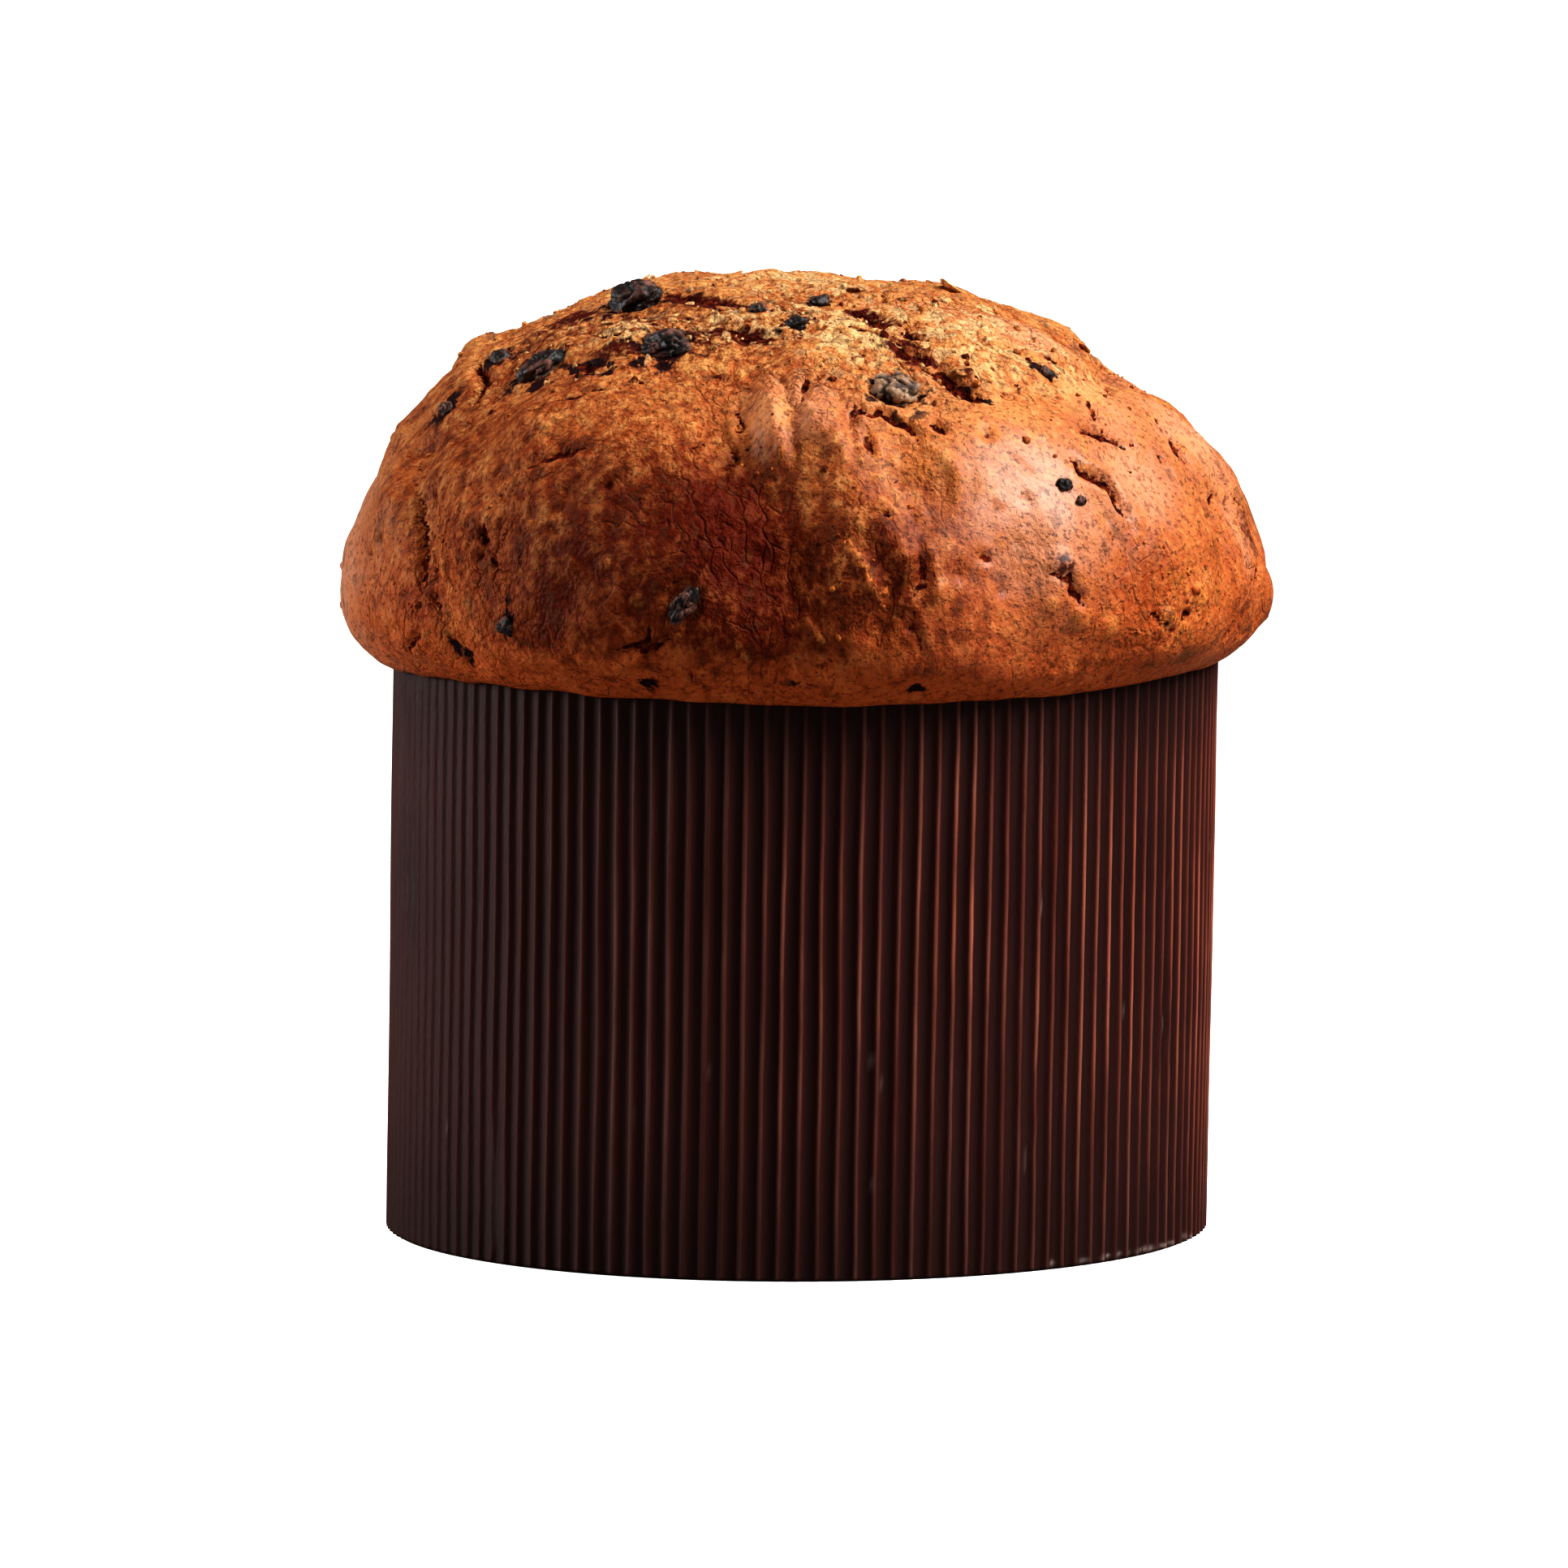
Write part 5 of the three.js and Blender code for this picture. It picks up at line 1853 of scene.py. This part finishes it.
@dataclass
class CrustFlakes:
    """Thin scales of crust that have lifted off the dome, each with a curled free edge."""

    crown: Crown
    count: int = 70
    thickness: float = 0.3
    columns: int = 18
    sunk: float = 0.25
    ring_shares: tuple[float, ...] = (0.35, 0.7, 0.93, 1.0)
    thickness_shares: tuple[float, ...] = (1.0, 1.0, 0.6, 0.05)

    def flake(self, azimuth: float, height: float, turn: float, long: float, wide: float,
              curl: float) -> SurfaceMesh:
        """One scale: two skins of rings round its middle, joined at the rim.

        The outline is an oval with three seeded ripples, and the skin rises from its buried edge to
        its free edge with the square of the distance.

        Args:
            azimuth: Its azimuth in degrees.
            height: Its height in millimetres.
            turn: The direction that its free edge points in.
            long: Half its length.
            wide: Half its width.
            curl: How far its free edge stands off the crust.

        Returns:
            Its closed surface.
        """
        draw = np.random.default_rng(int(abs(azimuth * 31) + height * 17))
        angle = ring_angles(self.columns)
        ripple = 1.0 + sum((0.2 / k) * np.sin(k * angle + 2.0 * np.pi * draw.random()) for k in (2, 3, 5))
        shares = np.array(self.ring_shares)[:, None]
        x = long * shares * np.cos(angle) * ripple
        y = wide * shares * np.sin(angle) * ripple
        lift = curl * ((x / long + 1.0) / 2.0) ** 2 - self.sunk
        half = self.thickness * np.array(self.thickness_shares)[:, None]
        lower = np.stack([x, y, lift - half], axis=-1)
        upper = np.stack([x, y, lift + half], axis=-1)[::-1]
        rings = np.concatenate([lower, upper])
        middle = 0.25 * curl - self.sunk
        poles = np.array([[0.0, 0.0, middle - self.thickness], [0.0, 0.0, middle + self.thickness]])
        local = np.concatenate([rings.reshape(-1, 3), poles])
        smooth = self.crown.smooth((azimuth, height))[None]
        outer = self.crown.crust(smooth)[0][0]
        outer[0] -= self.crown.lean * outer[2]
        _, axes = self.crown.seat(azimuth, height, turn, 0.0)
        points = self.crown.leaning(outer + local @ axes)
        masks = {tint.value: np.zeros(len(points)) for tint in Tint}
        masks[Tint.GOLD.value] += 0.3 + 0.5 * draw.random()
        masks[Tint.COARSE.value] += 0.8
        masks[Tint.SCORCH.value] += 0.55 * (draw.random() < 0.35)
        return SurfaceMesh(points, closed_faces(*rings.shape[:2]), masks)

    def build(self, material: Material) -> Object:
        """Builds the scales as one piece, most of them near the top."""
        flakes = [
            self.flake(77, 175.4, 150, 3.2, 1.6, 2.0),
            self.flake(68, 173.2, 20, 3.4, 2.0, 1.2),
            self.flake(50, 160.9, 75, 4.2, 2.6, 0.9),
            self.flake(18, 168.6, 40, 3.8, 2.0, 0.9),
        ]
        for turn, tall, size, wide, curl in np.random.default_rng(83).random((self.count, 5)):
            height = 177.5 - 24.0 * tall**1.6
            long = 1.2 + 1.6 * size
            across = long * (0.4 + 0.35 * wide)
            azimuth = 360.0 * turn - 180.0
            flakes.append(self.flake(azimuth, height, 360.0 * wide, long, across, 0.35 + 0.5 * curl))
        return join_blocks(flakes).make("crust_flakes", material, Slot.CRUST)


@dataclass
class CrustCrumbs:
    """Small grains of torn crust and crumb that stick to the dome, thickest on its top."""

    crown: Crown
    nests: tuple[tuple[float, float, float, int], ...] = (
        (-42, 166, 7, 60), (-15, 171, 8, 70), (8, 169, 8, 60), (25, 160, 7, 40), (-58, 158, 6, 30),
        (45, 161, 8, 35), (0, 177, 16, 80), (-48, 128, 8, 30), (50, 118, 8, 20), (5, 128, 6, 12),
        (-5, 152, 6, 15), (165, 166, 12, 80), (-130, 165, 12, 70), (110, 165, 10, 40), (-95, 168, 8, 30),
    )
    columns: int = 7
    rows: int = 5

    def build(self, maker: RaisinMaker, material: Material) -> Object:
        """Builds the grains as one piece: uneven balls, each half sunk in the crust.

        A nest's grains lie round its middle at normally drawn distances on the smooth crown.

        Args:
            maker: Makes the unit ball.
            material: The crust's finish.

        Returns:
            The grains.
        """
        random = np.random.default_rng(97)
        clouds = [
            self.crown.smooth((azimuth, height)) + random.normal(size=(count, 3)) * spread
            for azimuth, height, spread, count in self.nests
        ]
        places = self.crown.pulled(np.concatenate(clouds))
        normals = self.crown.normals(places)
        outer = self.crown.crust(places)[0]
        ball, faces = maker.ball(self.columns, self.rows)
        half = 0.28 + 0.5 * random.random((len(places), 1, 1)) ** 2
        stretch = 0.7 + 0.6 * random.random((len(places), 1, 3))
        ripple = 1.0 + 0.22 * random.normal(size=(len(places), len(ball), 1)).clip(-1.5, 1.5)
        grains = ball[None] * ripple * stretch * half + (outer - 0.1 * normals)[:, None]
        tints = random.random((len(places), 2))
        masks = {tint.value: np.zeros(grains.shape[:2]) for tint in Tint}
        masks[Tint.GOLD.value] += 0.6 * (tints[:, :1] < 0.45)
        masks[Tint.SCORCH.value] += 0.7 * (tints[:, :1] > 0.8)
        masks[Tint.COARSE.value] += 0.5
        starts = np.arange(len(places))[:, None, None] * len(ball)
        blocks = [(face[None] + starts).reshape(-1, face.shape[1]) for face in faces]
        flat = {label: values.ravel() for label, values in masks.items()}
        mesh = SurfaceMesh(grains.reshape(-1, 3), blocks, flat)
        return mesh.make("crust_crumbs", material, Slot.CRUST)


@dataclass(frozen=True)
class Lamp:
    """A soft square lamp, aimed at the loaf from an azimuth and an elevation."""

    name: str
    azimuth: float
    elevation: float
    distance: float
    size: float
    power: float
    color: tuple[float, float, float] = (1.0, 1.0, 1.0)

    def build(self, target: Vector) -> None:
        """Makes the lamp, facing the target."""
        turn, rise = math.radians(self.azimuth), math.radians(self.elevation)
        away = Vector((math.sin(turn) * math.cos(rise), -math.cos(turn) * math.cos(rise), math.sin(rise)))
        light = bpy.data.lights.new(self.name, "AREA")
        light.shape = "SQUARE"
        light.size = self.size
        light.energy = self.power
        light.color = self.color
        lamp = bpy.data.objects.new(self.name, light)
        lamp.location = target + away * self.distance
        lamp.rotation_euler = away.to_track_quat("Z", "Y").to_euler()
        bpy.context.scene.collection.objects.link(lamp)


@dataclass
class Studio:
    """The photograph's camera, its lamps, a white surround and a pale floor that fades out."""

    floor_radius: float = 0.9
    floor_fade: float = 0.5
    floor_rings: int = 10
    floor_columns: int = 96
    surround: float = 0.11
    surround_seen: float = 1.1
    aim: tuple[float, float, float] = (0.0, 0.0, 0.12)
    lamps: tuple[Lamp, ...] = (
        Lamp("key", 65, 45, 1.1, 0.7, 16.0),
        Lamp("left_fill", -96, 14, 1.2, 0.5, 8.3),
        Lamp("top", 150, 74, 1.2, 0.7, 1.6),
    )

    def build(self) -> None:
        """Makes all of it."""
        self.build_camera()
        self.build_world()
        self.build_floor()
        for lamp in self.lamps:
            lamp.build(Vector(self.aim))
        settings = bpy.context.scene.view_settings
        settings.view_transform = "Standard"
        settings.look = "High Contrast"

    def build_camera(self) -> None:
        """Makes the camera at the place and angle that the photograph was taken from."""
        data = bpy.data.cameras.new("camera")
        data.sensor_width = SENSOR_WIDTH
        data.lens = CAMERA_LENS
        camera = bpy.data.objects.new("camera", data)
        camera.location = CAMERA_PLACE
        camera.rotation_euler = Euler((math.radians(90.0 - CAMERA_DIP), 0.0, 0.0))
        bpy.context.scene.collection.objects.link(camera)
        bpy.context.scene.camera = camera

    def build_world(self) -> None:
        """A world that the camera sees as white and that lights the loaf softly."""
        world = bpy.data.worlds.new("surround")
        world.use_nodes = True
        nodes = ShaderNodes(world.node_tree)
        background = world.node_tree.nodes["Background"]
        seen = nodes.place("LightPath").outputs["Is Camera Ray"]
        strength = nodes.times(seen, self.surround_seen - self.surround, self.surround)
        nodes.feed_all(background, {"Color": (1.0, 1.0, 1.0, 1.0), "Strength": strength})
        bpy.context.scene.world = world

    def build_floor(self) -> None:
        """A pale disc of rings that turns clear towards its edge, so that no horizon shows."""
        radius = self.floor_radius * np.linspace(0.1, 1.0, self.floor_rings)[::-1, None]
        rings = round_points(radius, ring_angles(self.floor_columns), 0.0)
        points = np.concatenate([rings.reshape(-1, 3), [[0.0, 0.0, 0.0]]])
        index = np.arange(rings[..., 0].size).reshape(rings.shape[:2])
        faces = grid_faces(index).tolist() + fan_faces(index[-1], index.size, pole_above=True).tolist()
        mesh = bpy.data.meshes.new("floor")
        mesh.from_pydata(points.tolist(), [], faces)
        mesh.materials.append(self.floor_material())
        floor = bpy.data.objects.new("floor", mesh)
        bpy.context.scene.collection.objects.link(floor)

    def floor_material(self) -> Material:
        """Off-white, faintly cloudy, and clear beyond the fade."""
        material, nodes, surface = start_material("floor")
        place = nodes.where()
        away = nodes.place("VectorMath", operation="LENGTH")
        nodes.feed(away.inputs[0], place)
        clear, full = 0.95 * self.floor_radius, self.floor_fade * self.floor_radius
        noise = nodes.noise(place, 9.0)
        seen = nodes.place("LightPath").outputs["Is Camera Ray"]
        pale = nodes.mix(noise.outputs[0], srgb(244, 244, 244), srgb(250, 250, 250))
        nodes.feed_all(surface, {
            "Base Color": nodes.mix(seen, srgb(150, 148, 146), pale),
            "Roughness": 0.8,
            "Specular IOR Level": 0.0,
            "Alpha": nodes.spread(away.outputs["Value"], clear, full),
            "Emission Color": srgb(255, 255, 255),
            "Emission Strength": nodes.times(seen, 0.8),
        })
        return material


def corners(pair: tuple[Vector, Vector]) -> list[list[float]]:
    """A box's two corners as plain numbers."""
    return [[float(value) for value in corner] for corner in pair]


def main() -> None:
    """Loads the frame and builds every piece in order."""
    logging.basicConfig(level=logging.INFO, format="%(name)s: %(message)s")
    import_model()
    effects = SharedEffects.build()
    crown = Crown()
    low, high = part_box("paper_case")
    loaf = Loaf(crown, CrustFinish()).build(effects)
    case = PaperCase(crown, PaperFinish(), (high[1] - low[1]) / 2.0 / MM, high[2] / MM)
    case.build(effects)
    dark = RaisinFinish("raisin", srgb(36, 18, 13), srgb(11, 6, 5), srgb(128, 84, 68), 0.55)
    pale = RaisinFinish("raisin_pale", srgb(142, 104, 76), srgb(62, 40, 26), srgb(180, 148, 118), 0.5)
    dark_skin, pale_skin = dark.material(effects), pale.material(effects)
    maker = RaisinMaker(crown)
    for place in RAISINS:
        maker.raisin(place, pale_skin if place.name == "raisin_pale" else dark_skin)
    maker.bits(dark_skin)
    CrustFlakes(crown).build(loaf.data.materials[0])
    CrustCrumbs(crown).build(maker, loaf.data.materials[0])
    Studio().build()


if __name__ == "__main__":
    main()
